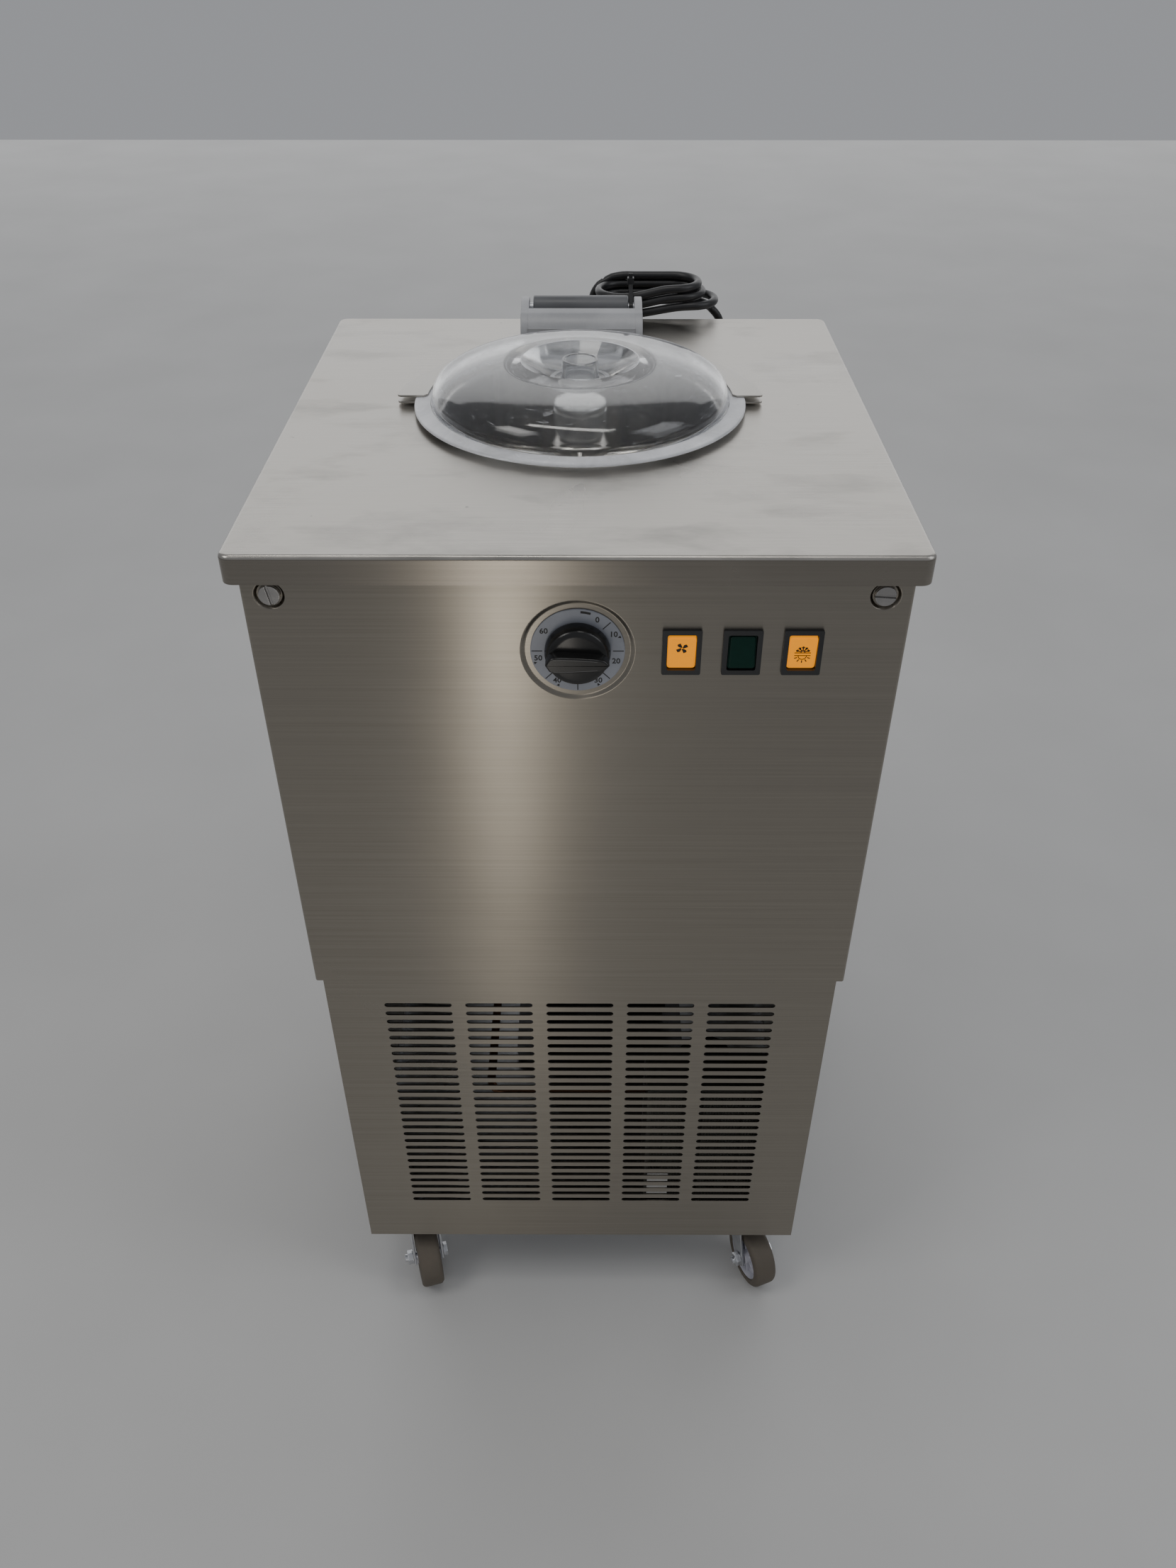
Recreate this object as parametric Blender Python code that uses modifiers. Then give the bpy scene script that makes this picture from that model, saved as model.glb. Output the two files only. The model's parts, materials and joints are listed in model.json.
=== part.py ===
"""A floor-standing ice cream maker on castors, as an assembly of separate pieces.

Units are metres, +Z is up and the front faces -Y. The origin is on the floor under the centre
of the worktop. A clear hinged lid covers a fixed freezing bowl, whose paddle is turned by a
gearmotor under it. The refrigeration set stands on the base tray behind a slotted panel.
"""

import math

import bmesh
import bpy
from mathutils import Matrix, Vector

# Overall sizes
WIDTH = 0.450
DEPTH = 0.480
HEIGHT = 0.850
GAP = 0.0003  # between two pieces that touch
SHEET = 0.0012

# Worktop
TOP_SHEET = 0.0015
TOP_LIP = 0.020
TOP_CORNER = 0.007
TOP_BEND = 0.003
MOUTH_GAP = 0.0015  # from the bowl's wall to the worktop's hole

# Cabinet
BODY_WIDTH = 0.423
BODY_SETBACK = 0.0132  # from the worktop's front edge to the slotted panel
BODY_REAR_SETBACK = 0.0107
BASE_Z = 0.0885
TRAY_SHEET = 0.002
TRAY_EDGE = 0.025
RETURN_WIDTH = 0.025
COVER_WIDTH = 0.434
COVER_SETBACK = 0.0106
COVER_BOTTOM = 0.460
COVER_RETURN = 0.012
PANEL_LAP = 0.010  # the slotted panel's height behind the cover
VENT_ROWS = 8
VENT_LOW = 0.240
VENT_PITCH = 0.020
VENT_X = 0.085
VENT_LENGTH = 0.110
VENT_HEIGHT = 0.008

# Slots of the lower panel
SLOT_COLUMNS = 5
SLOT_ROWS = 28
SLOT_PITCH_X = 0.0679
SLOT_PITCH_Z = 0.01029
SLOT_LENGTH = 0.056
SLOT_HEIGHT = 0.0046
SLOT_TOP = 0.0325  # from the cover's lower edge down to the first row

# Lid, bowl and paddle, on one upright axis
AXIS_Y = 0.017
BOWL_RADIUS = 0.1075
BOWL_DEPTH = 0.150
BOWL_WALL = 0.0015
BOWL_BEND = 0.012
BOWL_FLANGE = 0.013
COLUMN_RADIUS = 0.014
COLUMN_TOP = 0.034  # below the worktop
BUSH_RADIUS = 0.0107
SHAFT_RADIUS = 0.008
NUT_RADIUS = 0.021
DOME_RADIUS = 0.115
DOME_RISE = 0.0305
DOME_WALL = 0.003
FLANGE_RADIUS = 0.129
FLANGE_BOTTOM = 0.0033
FLANGE_THICK = 0.0029
FUNNEL_RADIUS = 0.045
FUNNEL_THROAT = 0.0205
PLUG_TUBE_RADIUS = 0.014
CARRIER_SHEET = 0.0015
CARRIER_INNER = 0.1195
CARRIER_OUTER = 0.136
EAR_REACH = 0.143
TONGUE_HALF = 0.0465

# Hinge
HINGE_Y = 0.211
HINGE_Z = 0.018  # above the worktop
PIN_RADIUS = 0.004
BARREL_RADIUS = 0.0103
BARREL_LEFT = -0.0433
BARREL_RIGHT = 0.0417
EAR_INNER = 0.0468
CASTING_HALF = 0.054

# Controls
DIAL_Z = 0.0745  # below the worktop
RECESS_RADIUS = 0.0365
RECESS_DEPTH = 0.0015
SPINDLE_HOLE = 0.0055
DIAL_RADIUS = 0.0315
KNOB_RADIUS = 0.022
KNOB_DEPTH = 0.019
SWITCH_X = {"fan": 0.069, "power": 0.109, "mode": 0.149}
SWITCH_ON = {"fan": 1, "power": -1, "mode": 1}
SWITCH_TILT = 5.0
BEZEL = (0.026, 0.034)
CUTOUT = (0.022, 0.030)
ROCKER = (0.019, 0.0254)
SCREW_X = 0.1985
SCREW_Z = 0.0332  # below the worktop
SCREW_RADIUS = 0.007
DIMPLE_RADIUS = 0.00935
SCREW_HOLE = 0.0035
SCREW_SHANK = 0.0030

# Inside
COIL_TUBE = 0.00475
COIL_TURNS = 5
COIL_POINTS = 16  # to a turn
COIL_BEND = 0.016
SUCTION_LEVEL = 0.130  # above the base
DISCHARGE_LEVEL = 0.090
JACKET_THICK = 0.031
JACKET_FLOOR = 0.020
DECK_SHEET = 0.002
GEARBOX = (0.120, 0.100, 0.060)
MOTOR_RADIUS = 0.052
MOTOR_LENGTH = 0.110
COMPRESSOR_RADIUS = 0.080
COMPRESSOR_HEIGHT = 0.190
COMPRESSOR_PLACE = (0.020, 0.060)
CONDENSER_X = (0.062, 0.190)
CONDENSER_Z = (0.118, 0.302)
CONDENSER_DEPTH = 0.044
FAN_RADIUS = 0.056
FAN_HUB = 0.018
FAN_MOTOR_RADIUS = 0.026

# Castors
WHEEL_RADIUS = 0.0325
WHEEL_WIDTH = 0.023
CASTOR_TRAIL = 0.028
FORK_GAP = 0.0015
FORK_SHEET = 0.0025
AXLE_RADIUS = 0.004
KINGPIN_RADIUS = 0.006
CASTOR_X = 0.168
CASTOR_Y = 0.186
CASTOR_TURN = {
    "front_left": (-1, -1, 16.0),
    "front_right": (1, -1, 22.0),
    "rear_left": (-1, 1, 12.0),
    "rear_right": (1, 1, 25.0),
}

# Mains cord
CORD_RADIUS = 0.00375
HANK_FOLD = 0.0225
HANK_LEFT = 0.012
HANK_LENGTH = 0.118
HANK_TURNS = 4
HANK_Y = 0.255
HANK_LIFT = 0.0017
GLAND_X = 0.128
GLAND_Z = 0.150
GLAND_RADIUS = 0.008
# The riser's foot is given from the gland's height, its rise as shares of the way up between the
# two ends, and its head and the tail from the worktop's height.
RISER_FOOT = (
    (0.1280, 0.2656, 0.0000), (0.1280, 0.2760, -0.0005), (0.1281, 0.2860, -0.0038),
    (0.1284, 0.2960, -0.0098), (0.1289, 0.3060, -0.0138), (0.1295, 0.3165, -0.0128),
    (0.1302, 0.3255, -0.0058), (0.1308, 0.3312, 0.0050), (0.1313, 0.3335, 0.0200),
)
RISER_RISE = (
    (0.1318, 0.3325, 0.047), (0.1325, 0.3270, 0.141), (0.1331, 0.3180, 0.266), (0.1335, 0.3080, 0.406),
    (0.1337, 0.2990, 0.547), (0.1338, 0.2910, 0.688), (0.1338, 0.2840, 0.828), (0.1338, 0.2790, 0.938),
)
RISER_HEAD = (
    (0.1338, 0.2775, -0.0400), (0.1336, 0.2775, -0.0238), (0.1317, 0.2775, -0.0135),
    (0.1283, 0.2775, -0.0073), (0.1215, 0.2775, -0.0004),
)
TAIL_ROUTE = (
    (0.0184, 0.2775, 0.0215), (0.0143, 0.2775, 0.0172), (0.0108, 0.2775, 0.0112), (0.0090, 0.2775, 0.0020),
    (0.0083, 0.2773, -0.0080), (0.0082, 0.2770, -0.0220), (0.0082, 0.2768, -0.0400),
    (0.0082, 0.2767, -0.0600), (0.0082, 0.2766, -0.0740),
)

FRONT = -DEPTH / 2
BODY_FRONT = FRONT + BODY_SETBACK
BODY_REAR = DEPTH / 2 - BODY_REAR_SETBACK
COVER_FRONT = FRONT + COVER_SETBACK
UNDER_TOP = HEIGHT - TOP_SHEET
BODY_INNER = BODY_WIDTH / 2 - SHEET

for old in list(bpy.data.objects):
    bpy.data.objects.remove(old, do_unlink=True)


def new_collection(name):
    made = bpy.data.collections.new(name)
    bpy.context.scene.collection.children.link(made)
    return made


PARTS = new_collection("ice_cream_maker")
TOOLS = new_collection("cutters")


def material(name, colour, roughness, metallic=0.0, alpha=1.0):
    made = bpy.data.materials.new(name)
    made.use_nodes = True
    shader = made.node_tree.nodes["Principled BSDF"]
    shader.inputs["Base Color"].default_value = (*colour, 1.0)
    shader.inputs["Roughness"].default_value = roughness
    shader.inputs["Metallic"].default_value = metallic
    shader.inputs["Alpha"].default_value = alpha
    return made


STEEL = {"colour": (0.56, 0.54, 0.50), "roughness": 0.32, "metallic": 1.0}
POLISHED = {"colour": (0.62, 0.61, 0.59), "roughness": 0.12, "metallic": 1.0}
ZINC = {"colour": (0.66, 0.67, 0.68), "roughness": 0.35, "metallic": 1.0}
CAST_GREY = {"colour": (0.36, 0.37, 0.38), "roughness": 0.45}
CLEAR = {"colour": (0.90, 0.91, 0.93), "roughness": 0.10, "alpha": 0.35}
BLACK = {"colour": (0.015, 0.015, 0.016), "roughness": 0.40}
RUBBER = {"colour": (0.020, 0.020, 0.021), "roughness": 0.60}
COPPER = {"colour": (0.72, 0.38, 0.22), "roughness": 0.30, "metallic": 1.0}
ENAMEL = {"colour": (0.02, 0.02, 0.022), "roughness": 0.30}
ALUMINIUM = {"colour": (0.75, 0.76, 0.77), "roughness": 0.40, "metallic": 1.0}
FOAM = {"colour": (0.80, 0.72, 0.50), "roughness": 0.90}
AMBER = {"colour": (0.95, 0.52, 0.05), "roughness": 0.30}
GREEN = {"colour": (0.01, 0.09, 0.06), "roughness": 0.30}
DIAL_WHITE = {"colour": (0.78, 0.79, 0.80), "roughness": 0.40}
TYRE = {"colour": (0.20, 0.18, 0.16), "roughness": 0.75}
BRONZE = {"colour": (0.55, 0.38, 0.20), "roughness": 0.40, "metallic": 1.0}


# Shapes: each call leaves one object among the tools, and finish() makes it a piece


def place(mesh, name="tool"):
    obj = bpy.data.objects.new(name, mesh)
    obj.hide_render = True
    obj.display_type = "WIRE"
    TOOLS.objects.link(obj)
    return obj


def from_bmesh(bm):
    mesh = bpy.data.meshes.new("shape")
    bm.to_mesh(mesh)
    bm.free()
    return place(mesh)


def block(low, high, corner=0.0, segments=3):
    """A box between two corners, with its upright edges rounded by corner."""
    low = Vector(low)
    high = Vector(high)
    size = high - low
    bm = bmesh.new()
    bmesh.ops.create_cube(bm, size=1.0)
    bmesh.ops.scale(bm, vec=size, verts=bm.verts)
    bmesh.ops.translate(bm, vec=(low + high) / 2, verts=bm.verts)
    if corner:
        upright = [e for e in bm.edges if abs((e.verts[0].co - e.verts[1].co).z) > size.z / 2]
        bmesh.ops.bevel(bm, geom=upright, offset=corner, segments=segments, profile=0.5,
                         affect="EDGES")
    return from_bmesh(bm)


def rod(start, end, radius, segments=16, end_radius=None):
    """A cylinder, or a cone, from one point to another."""
    start = Vector(start)
    along = Vector(end) - start
    bm = bmesh.new()
    bmesh.ops.create_cone(
        bm, cap_ends=True, segments=segments, radius1=radius,
        radius2=radius if end_radius is None else end_radius, depth=along.length,
    )
    turn = along.to_track_quat("Z", "Y").to_matrix().to_4x4()
    bmesh.ops.transform(bm, matrix=Matrix.Translation(start + along / 2) @ turn, verts=bm.verts)
    return from_bmesh(bm)


def lathe(profile, steps, place_at, axis="Z"):
    """A turned shape from (radius, height) points that run down its outer side."""
    on_axis = profile[0][0] == 0.0 and profile[-1][0] == 0.0
    bm = bmesh.new()
    points = [bm.verts.new((radius, 0.0, height)) for radius, height in profile]
    for first, second in zip(points, points[1:]):
        bm.edges.new((first, second))
    if not on_axis:
        bm.edges.new((points[-1], points[0]))
    obj = from_bmesh(bm)
    screw = obj.modifiers.new("turn", "SCREW")
    screw.axis = "Z"
    screw.steps = steps
    screw.render_steps = steps
    screw.use_merge_vertices = True
    screw.merge_threshold = 0.00005
    obj.location = place_at
    if axis == "Y":
        obj.rotation_euler = (math.radians(90), 0.0, 0.0)
    elif axis == "X":
        obj.rotation_euler = (0.0, math.radians(90), 0.0)
    return obj


def to_mesh(obj):
    """A copy of a curve as a welded mesh object. The curve is removed."""
    bpy.context.view_layer.update()
    graph = bpy.context.evaluated_depsgraph_get()
    mesh = bpy.data.meshes.new_from_object(obj.evaluated_get(graph))
    bm = bmesh.new()
    bm.from_mesh(mesh)
    bmesh.ops.remove_doubles(bm, verts=bm.verts, dist=0.000001)
    bm.to_mesh(mesh)
    bm.free()
    made = place(mesh)
    made.matrix_world = obj.matrix_world.copy()
    bpy.data.objects.remove(obj, do_unlink=True)
    return made


def plate(outlines, low, high, plane="XY"):
    """A flat piece: the first outline less the others, between two heights over its plane."""
    curve = bpy.data.curves.new("outline", "CURVE")
    curve.dimensions = "2D"
    curve.fill_mode = "BOTH"
    curve.extrude = (high - low) / 2
    for outline in outlines:
        spline = curve.splines.new("POLY")
        spline.points.add(len(outline) - 1)
        for point, (x, y) in zip(spline.points, outline):
            point.co = (x, y, 0.0, 1.0)
        spline.use_cyclic_u = True
    obj = bpy.data.objects.new("outline", curve)
    TOOLS.objects.link(obj)
    middle = (low + high) / 2
    if plane == "XY":
        obj.matrix_world = Matrix.Translation((0.0, 0.0, middle))
    elif plane == "XZ":
        turn = Matrix.Rotation(math.radians(90), 4, "X")
        obj.matrix_world = Matrix.Translation((0.0, middle, 0.0)) @ turn
    else:
        turn = Matrix(((0, 0, 1, 0), (1, 0, 0, 0), (0, 1, 0, 0), (0, 0, 0, 1)))
        obj.matrix_world = Matrix.Translation((middle, 0.0, 0.0)) @ turn
    return to_mesh(obj)


def tube(points, radius, bevel_resolution=2):
    """A round tube with closed ends along a list of points."""
    curve = bpy.data.curves.new("tube", "CURVE")
    curve.dimensions = "3D"
    curve.bevel_depth = radius
    curve.bevel_resolution = bevel_resolution
    curve.use_fill_caps = True
    spline = curve.splines.new("POLY")
    spline.points.add(len(points) - 1)
    for point, place_at in zip(spline.points, points):
        point.co = (*place_at, 1.0)
    obj = bpy.data.objects.new("tube", curve)
    TOOLS.objects.link(obj)
    return to_mesh(obj)


def combine(obj, other, operation):
    step = obj.modifiers.new(operation.lower(), "BOOLEAN")
    step.operation = operation
    step.solver = "EXACT"
    step.object = other


def joined(obj, *others):
    for other in others:
        combine(obj, other, "UNION")
    return obj


def cut(obj, *others):
    for other in others:
        combine(obj, other, "DIFFERENCE")
    return obj


def arc(centre_x, centre_y, radius, start, end, count):
    """Points along an arc, with its angles in degrees."""
    turns = [math.radians(start + (end - start) * i / count) for i in range(count + 1)]
    return [(centre_x + radius * math.cos(t), centre_y + radius * math.sin(t)) for t in turns]


def smooth_route(points, step):
    """Points about a step apart on a smooth curve through the given ones."""
    route = [Vector(p) for p in points]
    route = [2 * route[0] - route[1], *route, 2 * route[-1] - route[-2]]
    made = []
    for i in range(1, len(route) - 2):
        before, start, end, after = route[i - 1 : i + 3]
        pieces = max(1, round((end - start).length / step))
        for k in range(pieces):
            t = k / pieces
            made.append(
                0.5 * (2 * start + (end - before) * t
                       + (2 * before - 5 * start + 4 * end - after) * t * t
                       + (3 * start - before - 3 * end + after) * t ** 3)
            )
    made.append(route[-2])
    return made


def finish(name, obj, look, origin=None, smooth=35.0):
    """Makes a shape one of the pieces: its name, material, shading and origin."""
    TOOLS.objects.unlink(obj)
    PARTS.objects.link(obj)
    obj.name = name
    obj.hide_render = False
    obj.display_type = "TEXTURED"
    obj.data.materials.append(material(name, **look))
    if smooth:
        obj.data.shade_smooth()
        obj.data.set_sharp_from_angle(angle=math.radians(smooth))
    if origin is not None:
        bpy.context.view_layer.update()
        move = Vector(origin) - obj.matrix_world.translation
        obj.data.transform(Matrix.Translation(-(obj.matrix_world.to_3x3().inverted() @ move)))
        obj.location = Vector(origin)
    return obj


# Cabinet


def make_top_plate():
    low = (-WIDTH / 2, FRONT, HEIGHT - TOP_LIP)
    bm = bmesh.new()
    bmesh.ops.create_cube(bm, size=1.0)
    bmesh.ops.scale(bm, vec=(WIDTH, DEPTH, TOP_LIP), verts=bm.verts)
    bmesh.ops.translate(bm, vec=(0.0, 0.0, HEIGHT - TOP_LIP / 2), verts=bm.verts)
    upright = [e for e in bm.edges if abs((e.verts[0].co - e.verts[1].co).z) > TOP_LIP / 2]
    bmesh.ops.bevel(bm, geom=upright, offset=TOP_CORNER, segments=3, profile=0.5, affect="EDGES")
    rim = [e for e in bm.edges if min(v.co.z for v in e.verts) > HEIGHT - TOP_LIP / 2]
    bmesh.ops.bevel(bm, geom=rim, offset=TOP_BEND, segments=3, profile=0.5, affect="EDGES")
    obj = from_bmesh(bm)
    inside = block(
        (low[0] + TOP_SHEET, low[1] + TOP_SHEET, low[2] - 0.01),
        (-low[0] - TOP_SHEET, -low[1] - TOP_SHEET, UNDER_TOP),
        corner=TOP_CORNER - TOP_SHEET,
    )
    mouth = rod((0, AXIS_Y, HEIGHT - 0.02), (0, AXIS_Y, HEIGHT + 0.01), BOWL_RADIUS + MOUTH_GAP, 40)
    return finish("top_plate", cut(obj, inside, mouth), STEEL)


def make_front_cover():
    top = UNDER_TOP - GAP
    half = COVER_WIDTH / 2
    back = COVER_FRONT + SHEET
    wall = block((-half, COVER_FRONT, COVER_BOTTOM), (half, COVER_FRONT + COVER_RETURN, top))
    inside = block(
        (-half + SHEET, back, COVER_BOTTOM - 0.01), (half - SHEET, COVER_FRONT + 0.03, top + 0.01)
    )
    cut(wall, inside)
    dial_z = HEIGHT - DIAL_Z
    press(wall, 0.0, dial_z, RECESS_RADIUS, RECESS_DEPTH, SPINDLE_HOLE, 32)
    for side in (-1, 1):
        press(wall, side * SCREW_X, HEIGHT - SCREW_Z, DIMPLE_RADIUS, dimple_depth(), SCREW_HOLE, 20)
    for x in SWITCH_X.values():
        cut(wall, block(
            (x - CUTOUT[0] / 2, COVER_FRONT - 0.01, dial_z - CUTOUT[1] / 2),
            (x + CUTOUT[0] / 2, COVER_FRONT + 0.01, dial_z + CUTOUT[1] / 2),
        ))
    return finish("front_cover", wall, STEEL)


def press(wall, x, z, radius, depth, hole, steps):
    """Presses a round recess into the cover's sheet and bores it through."""
    outside = COVER_FRONT - 0.01
    back = COVER_FRONT + SHEET
    joined(wall, rod((x, back - SHEET / 2, z), (x, back + depth, z), radius + SHEET, steps))
    cut(wall, rod((x, outside, z), (x, COVER_FRONT + depth, z), radius, steps))
    cut(wall, rod((x, outside, z), (x, back + depth + 0.01, z), hole, 12))


def dimple_depth():
    """The screw dimples reach back to the body's front returns."""
    return BODY_FRONT - COVER_FRONT


def make_grille_panel():
    z0 = BASE_Z
    z1 = COVER_BOTTOM + PANEL_LAP
    half = BODY_WIDTH / 2
    outlines = [[(-half, z0), (half, z0), (half, z1), (-half, z1)]]
    for column in range(SLOT_COLUMNS):
        x = (column - (SLOT_COLUMNS - 1) / 2) * SLOT_PITCH_X
        for row in range(SLOT_ROWS):
            z = COVER_BOTTOM - SLOT_TOP - row * SLOT_PITCH_Z
            reach = SLOT_LENGTH / 2
            rise = SLOT_HEIGHT / 2
            outlines.append([(x - reach, z - rise), (x - reach, z + rise), (x + reach, z + rise),
                             (x + reach, z - rise)])
    obj = plate(outlines, BODY_FRONT, BODY_FRONT + SHEET, plane="XZ")
    return finish("grille_panel", obj, STEEL)


def make_side_panels():
    front = BODY_FRONT + SHEET + GAP
    rear = BODY_REAR - SHEET - GAP
    outer = BODY_WIDTH / 2
    inner = BODY_INNER
    lip = outer - RETURN_WIDTH
    outline = [(outer, front), (outer, rear), (lip, rear), (lip, rear - SHEET), (inner, rear - SHEET),
               (inner, front + SHEET), (lip, front + SHEET), (lip, front)]
    for name, side in (("side_panel_left", -1), ("side_panel_right", 1)):
        turned = [(side * x, y) for x, y in outline]
        obj = plate([turned], BASE_Z, UNDER_TOP - GAP)
        z = HEIGHT - SCREW_Z
        x = side * SCREW_X
        cut(obj, rod((x, front - 0.01, z), (x, front + 0.01, z), SCREW_SHANK + GAP, 12))
        finish(name, obj, STEEL)


def make_rear_panel():
    half = BODY_WIDTH / 2
    z0 = BASE_Z
    z1 = UNDER_TOP - GAP
    outlines = [[(-half, z0), (half, z0), (half, z1), (-half, z1)]]
    reach = VENT_LENGTH / 2
    rise = VENT_HEIGHT / 2
    for row in range(VENT_ROWS):
        z = VENT_LOW + row * VENT_PITCH
        for x in (-VENT_X, VENT_X):
            outlines.append([(x - reach, z - rise), (x + reach, z - rise), (x + reach, z + rise),
                             (x - reach, z + rise)])
    outlines.append(arc(GLAND_X, GLAND_Z, GLAND_RADIUS + GAP, 0, 337.5, 15))
    obj = plate(outlines, BODY_REAR - SHEET, BODY_REAR, plane="XZ")
    return finish("rear_panel", obj, STEEL)


def make_base_tray():
    front = BODY_FRONT + 2 * SHEET + 2 * GAP
    rear = BODY_REAR - 2 * SHEET - 2 * GAP
    half = BODY_INNER - GAP
    tray = block((-half, front, BASE_Z), (half, rear, BASE_Z + TRAY_EDGE))
    cut(tray, block((-half + TRAY_SHEET, front + TRAY_SHEET, BASE_Z + TRAY_SHEET),
                    (half - TRAY_SHEET, rear - TRAY_SHEET, BASE_Z + 0.05)))
    for side_x, side_y, _ in CASTOR_TURN.values():
        x = side_x * CASTOR_X
        y = side_y * CASTOR_Y
        cut(tray, rod((x, y, BASE_Z - 0.01), (x, y, BASE_Z + 0.01), KINGPIN_RADIUS + GAP, 16))
    return finish("base_tray", tray, ZINC)


def deck_top():
    return HEIGHT - TOP_SHEET - 2 * GAP - BOWL_WALL - BOWL_DEPTH - JACKET_FLOOR - GAP


def make_deck():
    half = BODY_INNER - GAP
    front = BODY_FRONT + 2 * SHEET + 2 * GAP
    rear = BODY_REAR - 2 * SHEET - 2 * GAP
    top = deck_top()
    deck = block((-half, front, top - 0.022), (half, rear, top))
    cut(deck, block((-half + DECK_SHEET, front - 0.01, top - 0.05),
                    (half - DECK_SHEET, rear + 0.01, top - DECK_SHEET)))
    cut(deck, rod((0, AXIS_Y, top - 0.01), (0, AXIS_Y, top + 0.01), 0.020, 20))
    x = coil_radius()
    cut(deck, rod((x, AXIS_Y, top - 0.01), (x, AXIS_Y, top + 0.01), COIL_TUBE + 0.001, 12))
    return finish("gearbox_deck", deck, ZINC)


# Bowl, cooling and drive


def coil_radius():
    """The coil lies against the bowl: its straight chords just clear the bowl's wall."""
    return (BOWL_RADIUS + BOWL_WALL + COIL_TUBE + GAP) / math.cos(math.pi / COIL_POINTS)


def bowl_floor():
    return UNDER_TOP - GAP - BOWL_DEPTH


def make_bowl():
    top = UNDER_TOP - GAP
    outer = BOWL_RADIUS + BOWL_WALL
    floor = bowl_floor()
    bend = BOWL_BEND
    inside = arc(BOWL_RADIUS - bend, floor + bend, bend, -90, 0, 2)
    outside = arc(BOWL_RADIUS - bend, floor + bend, bend + BOWL_WALL, 0, -90, 2)
    profile = [(outer + BOWL_FLANGE, top), (outer + BOWL_FLANGE, top - BOWL_WALL), (outer, top - BOWL_WALL)]
    profile += outside
    profile += [(BUSH_RADIUS + GAP, floor - BOWL_WALL), (BUSH_RADIUS + GAP, HEIGHT - COLUMN_TOP),
                (COLUMN_RADIUS, HEIGHT - COLUMN_TOP), (COLUMN_RADIUS, floor)]
    profile += inside
    profile += [(BOWL_RADIUS, top)]
    obj = lathe([(r, z - HEIGHT) for r, z in profile], 36, (0, AXIS_Y, HEIGHT))
    return finish("freezing_bowl", obj, POLISHED)


def make_jacket():
    top = UNDER_TOP - 2 * GAP - BOWL_WALL
    inner = coil_radius() + COIL_TUBE + 0.002
    outer = inner + JACKET_THICK
    shelf = bowl_floor() - BOWL_WALL - GAP
    floor = deck_top() + GAP
    profile = [(outer, top), (outer, floor), (0.020, floor), (0.020, shelf), (inner, shelf), (inner, top)]
    obj = lathe([(r, z - HEIGHT) for r, z in profile], 24, (0, AXIS_Y, HEIGHT))
    x = coil_radius()
    cut(obj, rod((x, AXIS_Y, floor - 0.01), (x, AXIS_Y, shelf + 0.01), COIL_TUBE + 0.001, 12))
    return finish("insulation_jacket", obj, FOAM)


def make_coil():
    """The evaporator: a helix round the bowl that runs on down to the compressor's side."""
    radius = coil_radius()
    low = bowl_floor() + 0.012
    rise = (BOWL_DEPTH - 0.040) / COIL_TURNS
    points = []
    for i in range(COIL_TURNS * COIL_POINTS, -1, -1):
        angle = 2 * math.pi * i / COIL_POINTS
        points.append(Vector((radius * math.cos(angle), AXIS_Y + radius * math.sin(angle),
                              low + rise * i / COIL_POINTS)))
    away = Vector((radius - COMPRESSOR_PLACE[0], AXIS_Y - COMPRESSOR_PLACE[1], 0.0))
    reach = away.length
    away.normalize()
    centre = Vector((COMPRESSOR_PLACE[0], COMPRESSOR_PLACE[1], 0.0))
    port = COMPRESSOR_RADIUS + 2 * GAP
    bend = min(COIL_BEND, reach - port - 0.001)
    level = BASE_Z + SUCTION_LEVEL
    points.append(Vector((radius, AXIS_Y - 0.003, low - 0.008)))
    points.append(Vector((radius, AXIS_Y, low - 0.0130)))
    points.append(Vector((radius, AXIS_Y, deck_top() - 0.030)))
    for along, height in arc(reach - bend, level + bend, bend, 0, -90, 4):
        points.append(centre + away * along + Vector((0.0, 0.0, height)))
    points.append(centre + away * port + Vector((0.0, 0.0, level)))
    return finish("evaporator_coil", tube(points, COIL_TUBE, 1), COPPER)


def make_drive():
    top = deck_top() - DECK_SHEET - GAP
    wide, deep, high = GEARBOX
    low = (-wide / 2, AXIS_Y - deep / 2, top - high)
    box = block(low, (wide / 2, AXIS_Y + deep / 2, top), corner=0.010)
    cut(box, rod((0, AXIS_Y, top - 0.035), (0, AXIS_Y, top + 0.01), SHAFT_RADIUS + GAP, 20))
    finish("gearbox", box, ALUMINIUM)
    z = top - high - GAP
    r = MOTOR_RADIUS
    end = -MOTOR_LENGTH
    profile = [(0.0, 0.0), (r, 0.0), (r, -0.008), (r - 0.004, -0.010), (r - 0.004, end + 0.022),
               (r, end + 0.020), (r, end + 0.006), (r - 0.012, end), (0.0, end)]
    finish("drive_motor", lathe(profile, 20, (0, AXIS_Y, z)), ENAMEL)
    bush = [(BUSH_RADIUS, -GAP), (BUSH_RADIUS, -0.022), (SHAFT_RADIUS + 0.0002, -0.022),
            (SHAFT_RADIUS + 0.0002, 0.0017), (COLUMN_RADIUS - 0.001, 0.0017), (COLUMN_RADIUS - 0.001, GAP),
            (BUSH_RADIUS, GAP)]
    finish("shaft_bush", lathe(bush, 16, (0, AXIS_Y, HEIGHT - COLUMN_TOP)), BRONZE)
    shaft = rod((0, AXIS_Y, top - 0.034), (0, AXIS_Y, HEIGHT - 0.0083), SHAFT_RADIUS, 20)
    finish("drive_shaft", shaft, ZINC, origin=(0, AXIS_Y, HEIGHT - COLUMN_TOP))


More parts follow.
